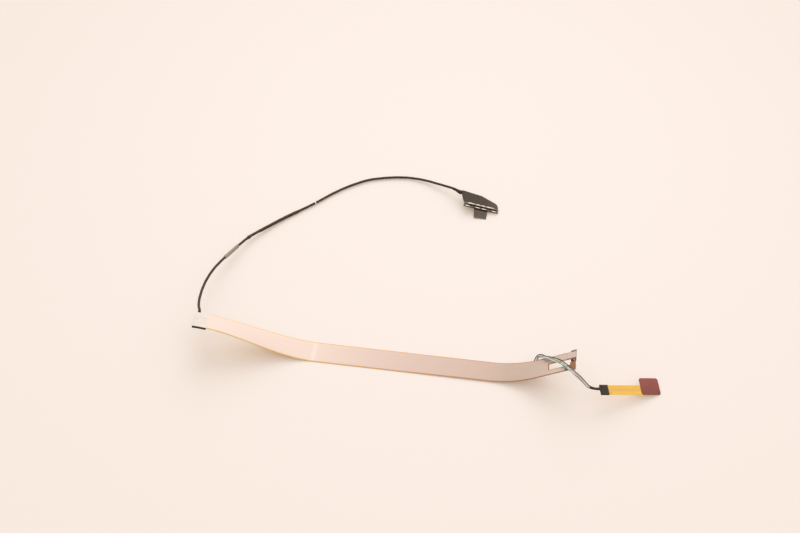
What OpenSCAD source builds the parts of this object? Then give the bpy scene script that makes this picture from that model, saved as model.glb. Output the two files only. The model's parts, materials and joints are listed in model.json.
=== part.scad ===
// Display cable: a flat flex ribbon with two end tails, a round taped harness
// to a micro-coax plug, and a four-wire branch to a small sensor tail.
// It lies on a surface at z = 0. The origin is under the middle of the ribbon's
// flat stretch, +X runs along the ribbon towards its tails and +Z is up.
// All lengths are in millimetres.

/* [Ribbon] */
// Width of the flex ribbon
ribbon_w = 12.5; // [11.5:0.1:14]
// Thickness of the flex ribbon
ribbon_t = 0.2; // [0.15:0.01:0.3]
// Ribbon length from the origin to the harness end
harness_end = 84; // [80:1:90]
// Ribbon length from the origin to the tail end
tail_end = 116; // [114:0.5:120]
// Thickness of the shielding film on top of the flex
film_t = 0.1; // [0.06:0.01:0.15]
// Bare flex left along each edge of the film
film_border = 0.45; // [0.3:0.05:0.8]

/* [Lift of the ribbon] */
// Rise of the near edge at the harness end
near_lift = 19.5; // [17:0.5:22]
// Rise of the far edge at the harness end
far_lift = 15.8; // [14:0.1:18]
// Distance from the origin to where the harness end starts to rise
lift_start = 19; // [16:1:24]
// Length over which the near edge rises
near_run = 65; // [60:1:72]
// Extra length over which the far edge rises
far_lag = 4; // [0:0.5:6]
// How far the steeper near edge is drawn in at the harness end
end_pull = 1.35; // [0.8:0.05:1.8]
// Rise of the near edge between the flat stretch and the bend
settle_lift = 0.5; // [0:0.1:1.5]
// Distance from the origin to the bend at the tail end, near edge
bend_start = 72; // [68:0.5:74]
// Distance by which the far edge bends later
bend_lag = 2; // [0:0.5:3]
// Radius of the bend at the tail end
bend_r = 45; // [38:1:48]
// Angle of the tail end above the surface
bend_angle = 33; // [28:0.5:36]

/* [Ribbon ends] */
// Length of the conductive tape over the harness end
end_tape = 7; // [6:0.5:9]
// Depth of the solder joint under the harness end
joint_h = 0.7; // [0.5:0.05:1]
// Thickness of the tape that covers the joint
cover_t = 0.2; // [0.15:0.01:0.3]
// How far the joint cover stands out past the ribbon's end
cover_overhang = 0.3; // [0.2:0.05:0.6]
// Distance from the origin to the slot between the tails
slot_x = 103.3; // [101.5:0.1:105]
// Width of the slot between the tails
slot_w = 4; // [3.5:0.1:4.5]
// Width of the lower tail
lower_tail_w = 3.5; // [3.2:0.1:4]
// Length of the stiffened end of the lower tail
stiffener_l = 5; // [4.5:0.25:6]
// Length of the wider head at the tip of the lower tail
head_l = 2.6; // [2:0.1:3.5]
// How far the head stands out past the outer side of the lower tail
head_overhang = 0.85; // [0.5:0.05:1]
// How far the head reaches into the slot
head_reach = 1.7; // [1:0.1:2]
// Thickness of the lower tail's stiffener
stiffener_t = 0.15; // [0.1:0.01:0.25]
// Number of gold fingers under the lower tail
finger_count = 6; // [4:1:6]
// Pitch of the gold fingers
finger_pitch = 0.5; // [0.4:0.01:0.55]
// Length of the gold fingers
finger_l = 2.6; // [2:0.1:3.5]

/* [Panel connector] */
// How far the panel connector stands out past each edge of its tail
panel_out = 1.1; // [0.8:0.05:1.5]
// Depth of the panel connector along the tail
panel_d = 2.7; // [2.3:0.1:3]
// Height of the panel connector
panel_h = 0.9; // [0.7:0.05:1.2]
// Length of the grey stiffener plate over the panel connector
plate_l = 4; // [3:0.25:5]
// Thickness of the grey stiffener plate
plate_t = 0.15; // [0.1:0.01:0.25]
// Number of contacts in each row of the panel connector
panel_pins = 10; // [8:1:12]
// Pitch of the panel connector's contacts
panel_pitch = 0.4; // [0.35:0.01:0.45]

/* [Harness] */
// Diameter of the taped harness
harness_d = 1.5; // [1.3:0.05:1.7]
// Distance along the harness to the conductive sleeve
sleeve_at = 49; // [46:0.5:54]
// Length of the conductive sleeve
sleeve_l = 12.5; // [10:0.5:16]
// Outer diameter of the conductive sleeve
sleeve_d = 2.1; // [1.9:0.05:2.4]
// Distance along the harness to the thicker wrap
wrap_at = 70; // [66:0.5:74]
// Length of the thicker wrap
wrap_l = 37; // [30:1:42]
// Outer diameter of the thicker wrap
wrap_d = 1.9; // [1.75:0.05:2.1]
// Distance along the harness to the white marker band
marker_at = 117.5; // [112:0.5:124]
// Length of the white marker band
marker_l = 0.7; // [0.4:0.1:1.2]
// Thickness of the white marker band
marker_t = 0.06; // [0.04:0.01:0.1]
// Length of the wrap at the plug
end_wrap_l = 7; // [5:0.5:9]
// Outer diameter of the wrap at the plug
end_wrap_d = 2.6; // [2.2:0.1:3]

/* [Main plug] */
// Length of the plug's housing
plug_l = 20.6; // [20:0.1:21.4]
// Depth of the plug's housing
plug_d = 3.2; // [3:0.1:3.6]
// Height of the plug's housing
plug_h = 1; // [0.9:0.05:1.3]
// Slope of the plug, which rests on one corner
plug_tilt = 10.8; // [8:0.1:12]
// Width of the plug's mating channel
channel_w = 0.95; // [0.8:0.05:1.1]
// Depth of the plug's mating channel
channel_h = 0.65; // [0.5:0.05:0.75]
// Thickness of the plug's housing walls
plug_wall = 0.75; // [0.6:0.05:0.8]
// Thickness of the plug's metal parts
shell_t = 0.15; // [0.1:0.01:0.2]
// Length of the plug's rail
rail_l = 16; // [14:0.5:17.5]
// Depth of the plug's rail
rail_d = 0.95; // [0.7:0.05:1.2]
// Length of the two outer segments of the rail
rail_outer = 4.5; // [4:0.1:5]
// Gap between the rail's four segments
rail_gap = 0.8; // [0.5:0.1:1]
// Length of each clip over the plug's front wall
clip_l = 2.6; // [2.2:0.1:2.8]
// Depth of each clip's top
clip_lap = 0.55; // [0.4:0.05:0.6]
// How far each clip reaches down the front wall
clip_drop = 0.3; // [0.2:0.05:0.5]
// Number of contacts in the plug
plug_pins = 36; // [30:1:40]
// Pitch of the plug's contacts
plug_pitch = 0.5; // [0.4:0.01:0.5]
// Depth of the clamp bar behind the housing
clamp_d = 0.9; // [0.7:0.1:1.2]
// Depth of the taped fan of wires behind the clamp bar
fan_d = 7.2; // [6.5:0.1:8]
// Thickness of the fan of wires
fan_t = 0.45; // [0.35:0.05:0.6]
// Thickness of the plug's tapes
tape_t = 0.12; // [0.08:0.01:0.18]
// Width of the pull tab
tab_w = 8.2; // [7:0.1:9]
// Reach of the pull tab in front of the plug
tab_reach = 5.4; // [4.5:0.1:6.5]
// Narrowing of the pull tab towards its tip
tab_taper = 1.1; // [0:0.1:1.5]
// Thickness of the pull tab
tab_t = 0.15; // [0.1:0.01:0.25]
// Depth of the folded hem at the root of the pull tab
hem_d = 0.7; // [0.5:0.1:1]

/* [Sensor wires] */
// Diameter of each sensor wire
wire_d = 0.55; // [0.45:0.05:0.6]
// Turn of the three pale wires round each other in each millimetre
wire_twist = 14; // [8:1:18]
// Distance between the wires where they leave the ribbon
wire_spread = 0.8; // [0.65:0.05:0.9]
// Height of the solder tape under the ribbon that holds the wires
anchor_h = 0.75; // [0.65:0.05:0.9]
// Length of the solder tape that holds the wires
anchor_l = 9; // [7:0.5:10]
// Width of the solder tape that shows beside the wires
anchor_lip = 0.4; // [0.2:0.05:0.6]

/* [Sensor tail] */
// Width of the sensor flex
sensor_w = 5.2; // [4.5:0.1:5.8]
// Length of the sensor flex that shows
sensor_l = 19.4; // [17:0.1:22]
// Thickness of the sensor flex
sensor_t = 0.15; // [0.1:0.01:0.2]
// Length of the sensor pad
pad_l = 11.2; // [10:0.1:12.5]
// Width of the sensor pad
pad_w = 9.2; // [8.5:0.1:10]
// Thickness of the sensor pad
pad_t = 0.3; // [0.2:0.05:0.5]
// Corner radius of the sensor pad
pad_r = 1.2; // [0.8:0.1:2]
// Turn of the sensor tail about the vertical
tail_yaw = 19.4; // [17:0.1:21]
// Slope of the sensor tail
tail_pitch = 17.2; // [15:0.1:18]
// Sideways bank of the sensor tail
tail_roll = 13.3; // [11:0.1:15]
// Length of the tape block over the splice
splice_l = 4.6; // [4:0.1:5.2]
// Thickness of the tape block over the splice
splice_t = 1; // [0.8:0.05:1.2]
// Length of the socket under the sensor pad
socket_l = 6.4; // [5:0.1:7]
// Width of the socket under the sensor pad
socket_w = 2.6; // [2.2:0.1:3]
// Height of the socket under the sensor pad
socket_h = 0.6; // [0.5:0.05:0.7]
// Number of contacts in each row of the socket
socket_pins = 8; // [6:1:10]
// Pitch of the socket's contacts
socket_pitch = 0.5; // [0.4:0.01:0.55]

/* [Hidden] */
tiny = 1e-6;

// ---- general functions ----
function unit(v) = v / norm(v);
function mix(a, b, t) = a + (b - a) * t;
function clamp01(t) = min(max(t, 0), 1);
function ease(t) = let(u = clamp01(t)) u * u * (3 - 2 * u);
function sorted(v) = len(v) < 2 ? v :
    let(mid = v[floor(len(v) / 2)])
    concat(sorted([for (x = v) if (x < mid - tiny) x]), [mid],
           sorted([for (x = v) if (x > mid + tiny) x]));
function within(v, lo, hi) = [for (x = v) if (x > lo - tiny && x < hi + tiny) x];

// ---- ribbon surface ----
// The ribbon is ruled between a near edge and a far edge, each with its own height.
edge_y = ribbon_w / 2;
function bend_rise(d) = let(run = bend_r * sin(bend_angle))
    d <= 0 ? 0 :
    d < run ? bend_r - sqrt(bend_r * bend_r - d * d) :
    bend_r * (1 - cos(bend_angle)) + (d - run) * tan(bend_angle);
function near_z(x) = near_lift * ease((-x - lift_start) / near_run)
    + settle_lift * ease((x - lift_start) / (bend_start - lift_start))
    + bend_rise(x - bend_start);
function far_z(x) = far_lift * ease((-x - lift_start) / (near_run + far_lag))
    + bend_rise(x - bend_start - bend_lag);

// The near edge rises more steeply, so its end is drawn in along x
function pull(x) = end_pull * ease((-x - lift_start) / near_run);
function rise_gap(x) = far_z(x) - near_z(x + pull(x));
function half_span(x) =
    sqrt(pow(ribbon_w, 2) - pow(pull(x), 2) - pow(rise_gap(x), 2)) / 2;
function near_edge(x) = [x + pull(x), -half_span(x), near_z(x + pull(x))];
function far_edge(x) = [x, half_span(x), far_z(x)];
function across(x) = unit(far_edge(x) - near_edge(x));
function along(x) = let(step = 0.5)
    unit(near_edge(x + step) + far_edge(x + step) - near_edge(x - step) - far_edge(x - step));
function upward(x) = unit(cross(along(x), across(x)));
// Point on the ribbon: x along it, y from its middle, h above its underside
function on_ribbon(x, y, h) =
    near_edge(x) + across(x) * (y + edge_y) + upward(x) * h;

// Direction straight out of the far edge's face
function edge_out(x) = let(step = 0.5)
    unit(cross(upward(x), far_edge(x + step) - far_edge(x - step)));

slot_y0 = lower_tail_w - edge_y;
slot_y1 = slot_y0 + slot_w;
straight_x = bend_start + bend_lag + bend_r * sin(bend_angle);

// Grid lines that every layer of the ribbon shares, so that layers meet face to face
stiffener_x = tail_end - stiffener_l;
// The wires leave the tape under the ribbon here
wire_x = 96.5;
anchor_ends = [wire_x - anchor_l / 2, wire_x + anchor_l / 2];
lift_steps = 18;
bend_steps = 9;
ribbon_xs = sorted(concat(
    [for (i = [0:lift_steps]) mix(-harness_end, -lift_start, i / lift_steps)],
    [for (i = [0:6]) mix(lift_start, bend_start, i / 6)],
    [for (i = [1:bend_steps]) mix(bend_start, straight_x, i / bend_steps)],
    anchor_ends, [wire_x],
    [end_tape - harness_end, slot_x - film_border, slot_x, stiffener_x, tail_end]));
ribbon_ys = sorted([
    -edge_y, -edge_y + film_border, slot_y0 - film_border, slot_y0,
    slot_y1, slot_y1 + film_border, edge_y - film_border, edge_y]);

// A closed sheet between two grids of nx by ny points. keep tells which cells are there.
module sheet(lows, highs, nx, ny, keep = function(i, j) true) {
    function solid(i, j) = i >= 0 && j >= 0 && i < nx - 1 && j < ny - 1 && keep(i, j);
    function low(i, j) = i * ny + j;
    function high(i, j) = nx * ny + i * ny + j;
    function wall(i, j, m, n) = [
        [low(i, j), high(i, j), high(m, n)], [low(i, j), high(m, n), low(m, n)]];
    cells = [for (i = [0:nx - 2], j = [0:ny - 2]) if (solid(i, j)) [i, j]];
    tops = [for (c = cells) let(i = c[0], j = c[1])
        each [[high(i, j), high(i, j + 1), high(i + 1, j + 1)],
              [high(i, j), high(i + 1, j + 1), high(i + 1, j)]]];
    bottoms = [for (c = cells) let(i = c[0], j = c[1])
        each [[low(i, j), low(i + 1, j + 1), low(i, j + 1)],
              [low(i, j), low(i + 1, j), low(i + 1, j + 1)]]];
    walls = [for (c = cells) let(i = c[0], j = c[1]) each concat(
        solid(i, j - 1) ? [] : wall(i, j, i + 1, j),
        solid(i + 1, j) ? [] : wall(i + 1, j, i + 1, j + 1),
        solid(i, j + 1) ? [] : wall(i + 1, j + 1, i, j + 1),
        solid(i - 1, j) ? [] : wall(i, j + 1, i, j))];
    polyhedron(concat(lows, highs), concat(tops, bottoms, walls), convexity = 6);
}

// A layer of the ribbon between heights h0 and h1. Each cut is a rectangle left out:
// between its first two numbers along x and its last two across the ribbon.
module layer(xs, ys, h0, h1, cuts = []) sheet(
    [for (x = xs, y = ys) on_ribbon(x, y, h0)],
    [for (x = xs, y = ys) on_ribbon(x, y, h1)],
    len(xs), len(ys),
    function(i, j) len([for (c = cuts)
        if (xs[i] > c[0] - tiny && xs[i] < c[1] - tiny
            && ys[j] > c[2] - tiny && ys[j] < c[3] - tiny) c]) == 0);

// Places flat pieces on the straight upper tail, with their own +Z off the film
module on_upper_tail(x, y, h) {
    w = upward(x);
    u = along(x);
    v = cross(w, u);
    p = on_ribbon(x, y, h);
    multmatrix([[u.x, v.x, w.x, p.x], [u.y, v.y, w.y, p.y], [u.z, v.z, w.z, p.z], [0, 0, 0, 1]])
        children();
}

// ---- tubes swept along a route ----
function route_point(p, u) = let(
    n = len(p), i = min(floor(u), n - 2), t = u - i,
    a = p[max(i - 1, 0)], b = p[i], c = p[i + 1], d = p[min(i + 2, n - 1)])
    0.5 * (2 * b + (c - a) * t + (2 * a - 5 * b + 4 * c - d) * t * t
           + (3 * b - a - 3 * c + d) * t * t * t);
// Table of length along a route against its parameter
function route_table(p, step = 0.125) = [for (
    u = 0, s = 0;
    u < len(p) - 1 + step / 2;
    s = s + norm(route_point(p, min(u + step, len(p) - 1)) - route_point(p, u)), u = u + step)
    [s, u]];
function route_length(table) = table[len(table) - 1][0];
// Centre, side and up vectors at length s, with the side level to ref
function route_frame(p, table, s, ref) = let(
    u = lookup(s, table),
    last = len(p) - 1,
    d = unit(route_point(p, min(u + 0.05, last)) - route_point(p, max(u - 0.05, 0))),
    side = unit(cross(d, ref)))
    [route_point(p, u), side, cross(side, d)];

// One ring of a tube: half-width a, half-height b, moved off the frame's centre
function ring(frame, a, b, sides, shift = [0, 0]) = [for (k = [0:sides - 1])
    let(t = 360 * (k + 0.5) / sides)
    frame[0] + frame[1] * (shift[0] + a * cos(t)) + frame[2] * (shift[1] + b * sin(t))];

// Solid tube through a list of rings
module tube(rings) {
    n = len(rings);
    m = len(rings[0]);
    points = [for (r = rings) each r];
    walls = [for (i = [0:n - 2], k = [0:m - 1]) let(e = (k + 1) % m)
        each [[i * m + k, i * m + e, (i + 1) * m + e],
              [i * m + k, (i + 1) * m + e, (i + 1) * m + k]]];
    caps = [[for (k = [m - 1:-1:0]) k], [for (k = [0:m - 1]) (n - 1) * m + k]];
    polyhedron(points, concat(walls, caps), convexity = 10);
}

// Open sleeve between inner rings and outer rings
module sleeve(inner, outer) {
    n = len(inner);
    m = len(inner[0]);
    points = concat([for (r = outer) each r], [for (r = inner) each r]);
    o = n * m;
    walls = [for (i = [0:n - 2], k = [0:m - 1]) let(e = (k + 1) % m)
        each [[i * m + k, i * m + e, (i + 1) * m + e],
              [i * m + k, (i + 1) * m + e, (i + 1) * m + k],
              [o + i * m + k, o + (i + 1) * m + e, o + i * m + e],
              [o + i * m + k, o + (i + 1) * m + k, o + (i + 1) * m + e]]];
    ends = [for (k = [0:m - 1]) let(e = (k + 1) % m, f = (n - 1) * m)
        each [[k, o + k, o + e], [k, o + e, e],
              [f + k, f + e, o + f + e], [f + k, o + f + e, o + f + k]]];
    polyhedron(points, concat(walls, ends), convexity = 10);
}

function turn_x(v, a) = [v.x, v.y * cos(a) - v.z * sin(a), v.y * sin(a) + v.z * cos(a)];
function turn_y(v, a) = [v.x * cos(a) + v.z * sin(a), v.y, v.z * cos(a) - v.x * sin(a)];
function turn_z(v, a) = [v.x * cos(a) - v.y * sin(a), v.x * sin(a) + v.y * cos(a), v.z];

// ---- place of the plug ----
// The plug rests on its front right corner
plug_corner = [68, 113.2, 0];
module at_plug() translate(plug_corner) rotate([0, plug_tilt, 0]) children();
function on_plug(v) = plug_corner + turn_y(v, plug_tilt);

// ---- harness route, from the joint under the ribbon to the plug ----
sides = 8;
root_w = 1.9;
root_x = root_w / 2 - harness_end;
root_l = 2.4;
// The root leaves the middle of the joint's last facet, square to it
root_facet = [-harness_end, mix(-harness_end, -lift_start, 1 / lift_steps)];
root_start = mix(on_ribbon(root_facet[0], edge_y, -joint_h / 2),
                 on_ribbon(root_facet[1], edge_y, -joint_h / 2),
                 (root_x - root_facet[0]) / (root_facet[1] - root_facet[0]));
root_out = unit(cross(upward(root_x), far_edge(root_facet[1]) - far_edge(root_facet[0])));
// The harness meets the left edge of the plug's tapes square to it
tape_out = 2.05;
tape_left = -plug_l - tape_out;
entry = [tape_left, plug_d + fan_d - 0.4, plug_h - fan_t];
entry_l = 0.8;
harness_route = [
    root_start, root_start + root_out * root_l,
    [-84.9, 12.5, 13.7], [-85.9, 18.5, 13], [-86.3, 26, 11.8], [-86, 33.5, 10.4],
    [-84.8, 41.5, 8.8], [-82.4, 50, 7], [-79.2, 58, 5.4], [-75.6, 66.2, 4.1],
    [-71.2, 74.2, 2.9], [-64.5, 82.1, 1.9], [-56.2, 91.2, 1.2], [-47, 99.7, 1],
    [-39.6, 106.5, 1], [-31.5, 114.8, 1], [-23.3, 121.9, 1], [-12.8, 128.8, 1],
    [-4, 132, 1], [5, 134, 1], [13.5, 134.6, 1.1], [22.5, 133.3, 1.6],
    [32, 129.9, 2.8], [40, 126.4, 4.2],
    on_plug(entry - [2 * entry_l, 0, 0]), on_plug(entry - [entry_l, 0, 0]), on_plug(entry)];
harness_table = route_table(harness_route);
harness_len = route_length(harness_table);
harness_step = 5.5;
harness_stops = sorted(concat(
    [for (i = [1:floor(harness_len / harness_step)]) i * harness_step],
    [root_l, sleeve_at, sleeve_at + sleeve_l, wrap_at, wrap_at + wrap_l,
     marker_at, marker_at + marker_l, harness_len - end_wrap_l, harness_len]));
function harness_frame(s) = route_frame(harness_route, harness_table, s, [0, 0, 1]);
function harness_rings(from, to, r) = [for (s = within(harness_stops, from, to))
    ring(harness_frame(s), r, r, sides)];

// ---- place of the sensor tail ----
// The sensor tail rests on the pad's near right corner
pad_dip = sqrt(pow(sin(tail_pitch), 2) + pow(sin(tail_roll) * cos(tail_pitch), 2));
pad_sit = pad_r * (pad_dip - sin(tail_pitch) - sin(tail_roll) * cos(tail_pitch));
pad_corner = [162.1, -2, pad_sit];
module at_pad() translate(pad_corner) rotate([tail_roll, tail_pitch, tail_yaw]) children();
function on_pad(v) =
    pad_corner + turn_z(turn_y(turn_x(v, tail_roll), tail_pitch), tail_yaw);
sensor_x = -pad_l - sensor_l;
splice_x = sensor_x - splice_l;
splice_y = 3.2;

// ---- wire route, from the tape under the ribbon to the splice ----
// The wires start square to the ribbon's far edge
straight_out = 0.8;
wire_route = [
    on_ribbon(wire_x, edge_y, -anchor_h / 2),
    on_ribbon(wire_x, edge_y, -anchor_h / 2) + edge_out(wire_x) * straight_out,
    [97, 7.9, 6.4], [97.5, 8.2, 7.6], [98.6, 8, 8.7], [99.9, 7.2, 9.5], [101.2, 5.4, 11.2],
    [103.1, 4.1, 12.7], [105.1, 2.8, 14.1], [106.9, 1.5, 15.3], [108.4, 0.1, 16.4],
    [109.7, -1.6, 17.5], [110.9, -3.5, 18.7], [112.1, -5.2, 19.8], [113.6, -7.3, 20.8],
    [115.1, -8.9, 20.9], [117.1, -9.8, 19.8], [118.7, -10.4, 18.7], [120.3, -11, 17.3],
    [121.9, -11.6, 15.8], [123.3, -11.9, 14.4], [125.5, -11.7, 13],
    on_pad([splice_x - 2, splice_y, -sensor_t / 2]), on_pad([splice_x, splice_y, -sensor_t / 2])];
wire_table = route_table(wire_route);
wire_len = route_length(wire_table);
sleeve_span = 7;
wires_end = wire_len - sleeve_span;
wire_steps = 20;
wire_stops = [for (i = [0:wire_steps]) wires_end * i / wire_steps];
// Length over which the row of wires gathers into a bundle
wire_gather = 5;
// Side of the bundle on which the black wire lies
black_turn = 140;
// Place of the green wire in the bundle where the bundle starts
trio_start = 13;
trio_r = 0.63 * wire_d;
black_gap = 0.94 * wire_d;
trio_gap = 0.72 * wire_d;
// Spacing of the bundle at its loosest and at its tightest, and the lengths between them
looseness = 1.5;
snugness = 0.96;
loose_rise = 22;
loose_fall = 18;
function wire_frame(s) = route_frame(wire_route, wire_table, s, upward(tail_end));
function turned(angle, r) = [r * cos(angle), r * sin(angle)];
// Order at the ribbon of the black, green, white and grey wires, so that none cross there
wire_row = [-1.5, 1.5, -0.5, 0.5];
// Spacing in the bundle, widest where it crosses the tails
function fullness(s) =
    mix(snugness, looseness, ease(s / loose_rise) * ease((wires_end - s) / loose_fall));
// Place of wire i of four in the bundle's section: a row at the ribbon, then
// the black wire beside three that turn round each other
function wire_shift(i, s) = let(
    row = [wire_row[i] * wire_spread, 0],
    bundle = i == 0 ? turned(black_turn, black_gap) :
        turned(black_turn + 180, trio_gap)
        + turned(trio_start - 120 * (i - 1) - wire_twist * s, trio_r))
    mix(row, bundle * fullness(s), ease(s / wire_gather));
module wire(i) tube([for (s = wire_stops)
    ring(wire_frame(s), wire_d / 2, wire_d / 2, sides, wire_shift(i, s))]);

// ---- ribbon ----
film_ys = within(ribbon_ys, -edge_y + film_border, edge_y - film_border);
patch_xs = within(ribbon_xs, -harness_end, end_tape - harness_end);

// Flex with a slot that parts its end into two tails
module ribbon_flex() color([0.80, 0.55, 0.22])
    layer(ribbon_xs, ribbon_ys, 0, ribbon_t, cuts = [[slot_x, tail_end, slot_y0, slot_y1]]);

// Shielding film, set back from every edge of the flex and from the stiffened tail
module ribbon_film() color([0.80, 0.72, 0.66])
    layer(within(ribbon_xs, end_tape - harness_end, tail_end), film_ys,
          ribbon_t, ribbon_t + film_t,
          cuts = [[slot_x - film_border, tail_end, slot_y0 - film_border, slot_y1 + film_border],
                  [stiffener_x, tail_end, -edge_y, slot_y0]]);

// Conductive tape over the harness end
module end_tape_patch() color([0.90, 0.88, 0.84])
    layer(patch_xs, ribbon_ys, ribbon_t, ribbon_t + film_t);

// Soldered wire ends under the harness end
module joint_solder() color([0.72, 0.70, 0.66])
    layer(patch_xs, ribbon_ys, -joint_h, 0);

// Black tape folded under the joint and up its near side
module joint_cover() color([0.16, 0.15, 0.14]) {
    xs = concat([-harness_end - cover_overhang], patch_xs);
    layer(xs, concat([-edge_y - cover_t], ribbon_ys), -joint_h - cover_t, -joint_h);
    layer(xs, [-edge_y - cover_t, -edge_y], -joint_h, ribbon_t + film_t);
}

// ---- panel connector on the upper tail ----
panel_x = tail_end - panel_d / 2;
panel_y = (slot_y1 + edge_y) / 2;
panel_l = edge_y - slot_y1 + 2 * panel_out;
panel_wall = 0.35;
module on_panel() on_upper_tail(panel_x, panel_y, 0) children();

module panel_plate() color([0.66, 0.66, 0.66])
    layer([tail_end - plate_l, tail_end], [slot_y1 + film_border, edge_y - film_border],
          ribbon_t + film_t, ribbon_t + film_t + plate_t);

module panel_housing() color([0.30, 0.12, 0.12]) on_panel() difference() {
    translate([-panel_d / 2, -panel_l / 2, -panel_h]) cube([panel_d, panel_l, panel_h]);
    translate([-panel_d / 2 + panel_wall, -panel_l / 2 + 3 * panel_wall, -panel_h - 1])
        cube([panel_d - 2 * panel_wall, panel_l - 6 * panel_wall, 1 + panel_h - panel_wall]);
}

contact_w = 0.2;
contact_inset = 0.1;
module panel_contacts() color([0.83, 0.66, 0.30]) on_panel()
    for (side = [-1, 1], k = [0:panel_pins - 1])
        translate([side * (panel_d / 2 - panel_wall - contact_w / 2) - contact_w / 2,
                   (k - (panel_pins - 1) / 2) * panel_pitch - contact_w / 2,
                   contact_inset - panel_h])
            cube([contact_w, contact_w, panel_h - panel_wall - contact_inset]);

// Solder nails over the outer corner at both ends of the housing, clear of the tail
nail_t = 0.12;
nail_w = 0.8;
nail_gap = 0.2;
nail_foot = 0.2;
module panel_nails() color([0.80, 0.80, 0.80]) on_panel()
    for (side = [-1, 1]) mirror([0, side < 0 ? 1 : 0, 0]) translate([panel_d / 2 - nail_w, 0, 0]) {
        translate([0, panel_l / 2 - panel_out + nail_gap, 0])
            cube([nail_w, panel_out - nail_gap + nail_t, nail_t]);
        translate([0, panel_l / 2, nail_foot - panel_h])
            cube([nail_w, nail_t, panel_h - nail_foot]);
    }

// ---- lower tail ----
// Bronze stiffener over the tail's end, wider at the head
head_x = tail_end - head_l;
module zif_stiffener() color([0.62, 0.40, 0.12])
    layer([stiffener_x, head_x, tail_end],
          [-edge_y - head_overhang, -edge_y, slot_y0, slot_y0 + head_reach],
          ribbon_t, ribbon_t + stiffener_t,
          cuts = [[stiffener_x, head_x, -edge_y - head_overhang, -edge_y],
                  [stiffener_x, head_x, slot_y0, slot_y0 + head_reach]]);

finger_inset = 0.2;
finger_share = 0.6;
finger_t = 0.05;
module zif_fingers() color([0.90, 0.72, 0.32])
    for (k = [0:finger_count - 1]) {
        y = slot_y0 - lower_tail_w / 2 + (k - (finger_count - 1) / 2) * finger_pitch;
        w = finger_pitch * finger_share;
        layer([tail_end - finger_l, tail_end - finger_inset], [y - w / 2, y + w / 2],
              -finger_t, 0);
    }

// ---- harness ----
harness_r = harness_d / 2;
module harness_root() color([0.20, 0.18, 0.16]) tube([
    ring(harness_frame(0), root_w / 2, joint_h / 2, sides),
    ring(harness_frame(root_l), harness_r, harness_r, sides)]);

module harness_jacket() color([0.24, 0.21, 0.18])
    tube(harness_rings(root_l, harness_len, harness_r));

// A layer of tape round the harness between two distances along it
module wound(from, to, d) sleeve(
    harness_rings(from, to, harness_r), harness_rings(from, to, d / 2));

module harness_sleeve() color([0.66, 0.62, 0.53]) wound(sleeve_at, sleeve_at + sleeve_l, sleeve_d);
module harness_wrap() color([0.22, 0.19, 0.17]) wound(wrap_at, wrap_at + wrap_l, wrap_d);
module harness_marker() color([0.92, 0.91, 0.88])
    wound(marker_at, marker_at + marker_l, harness_d + 2 * marker_t);

// Wrap that swells towards the plug
module harness_end_wrap() color([0.17, 0.15, 0.14]) {
    stops = within(harness_stops, harness_len - end_wrap_l, harness_len);
    r0 = harness_r + tape_t;
    sleeve([for (s = stops) ring(harness_frame(s), harness_r, harness_r, sides)],
           [for (s = stops) let(r = mix(r0, end_wrap_d / 2, ease(1 - (harness_len - s) / end_wrap_l)))
               ring(harness_frame(s), r, r, sides)]);
}

// ---- main plug ----
plug_mid = -plug_l / 2;
channel_y = plug_wall;
rail_margin = 0.15;
rail_y = channel_y + channel_w + rail_margin;
rail_inner = (rail_l - 2 * rail_outer - 3 * rail_gap) / 2;
// Clips from the housing's middle and from its ends
clip_inner = 1.9;
clip_end = 2.2;
clip_outer = plug_l / 2 - clip_end;

module plug_housing() color([0.13, 0.12, 0.11]) at_plug() difference() {
    translate([-plug_l, 0, 0]) cube([plug_l, plug_d, plug_h]);
    translate([-plug_l + plug_wall, channel_y, plug_h - channel_h])
        cube([plug_l - 2 * plug_wall, channel_w, channel_h + 1]);
}

// Rail of four bright segments, joined by a narrow strip behind them
module plug_rail() color([0.80, 0.79, 0.76]) at_plug()
    translate([plug_mid - rail_l / 2, rail_y, plug_h]) {
        translate([0, rail_d / 2, 0]) cube([rail_l, rail_d / 2, shell_t]);
        for (s = [[0, rail_outer], [rail_outer + rail_gap, rail_inner],
                  [rail_l - rail_outer - rail_gap - rail_inner, rail_inner],
                  [rail_l - rail_outer, rail_outer]])
            translate([s[0], 0, 0]) cube([s[1], rail_d, 2 * shell_t]);
    }

// Clips folded over the front wall
module plug_front_clips() color([0.78, 0.77, 0.75]) at_plug()
    for (side = [-1, 1], off = [clip_inner, clip_outer])
        translate([plug_mid + side * off - clip_l / 2, -shell_t, 0]) {
            translate([0, 0, plug_h]) cube([clip_l, shell_t + clip_lap, shell_t]);
            translate([0, 0, plug_h - clip_drop]) cube([clip_l, shell_t, clip_drop]);
        }

module plug_contacts() color([0.83, 0.66, 0.30]) at_plug()
    for (k = [0:plug_pins - 1])
        translate([plug_mid + (k - (plug_pins - 1) / 2) * plug_pitch - contact_w / 2,
                   channel_y + channel_w - contact_w, plug_h - channel_h])
            cube([contact_w, contact_w, channel_h - contact_inset]);

// Bar that clamps the braids behind the housing
clamp_margin = 0.4;
module plug_clamp_bar() color([0.70, 0.69, 0.66]) at_plug()
    translate([-plug_l + clamp_margin, plug_d, plug_h - fan_t - tape_t])
        cube([plug_l - 2 * clamp_margin, clamp_d, fan_t + tape_t]);

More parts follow.
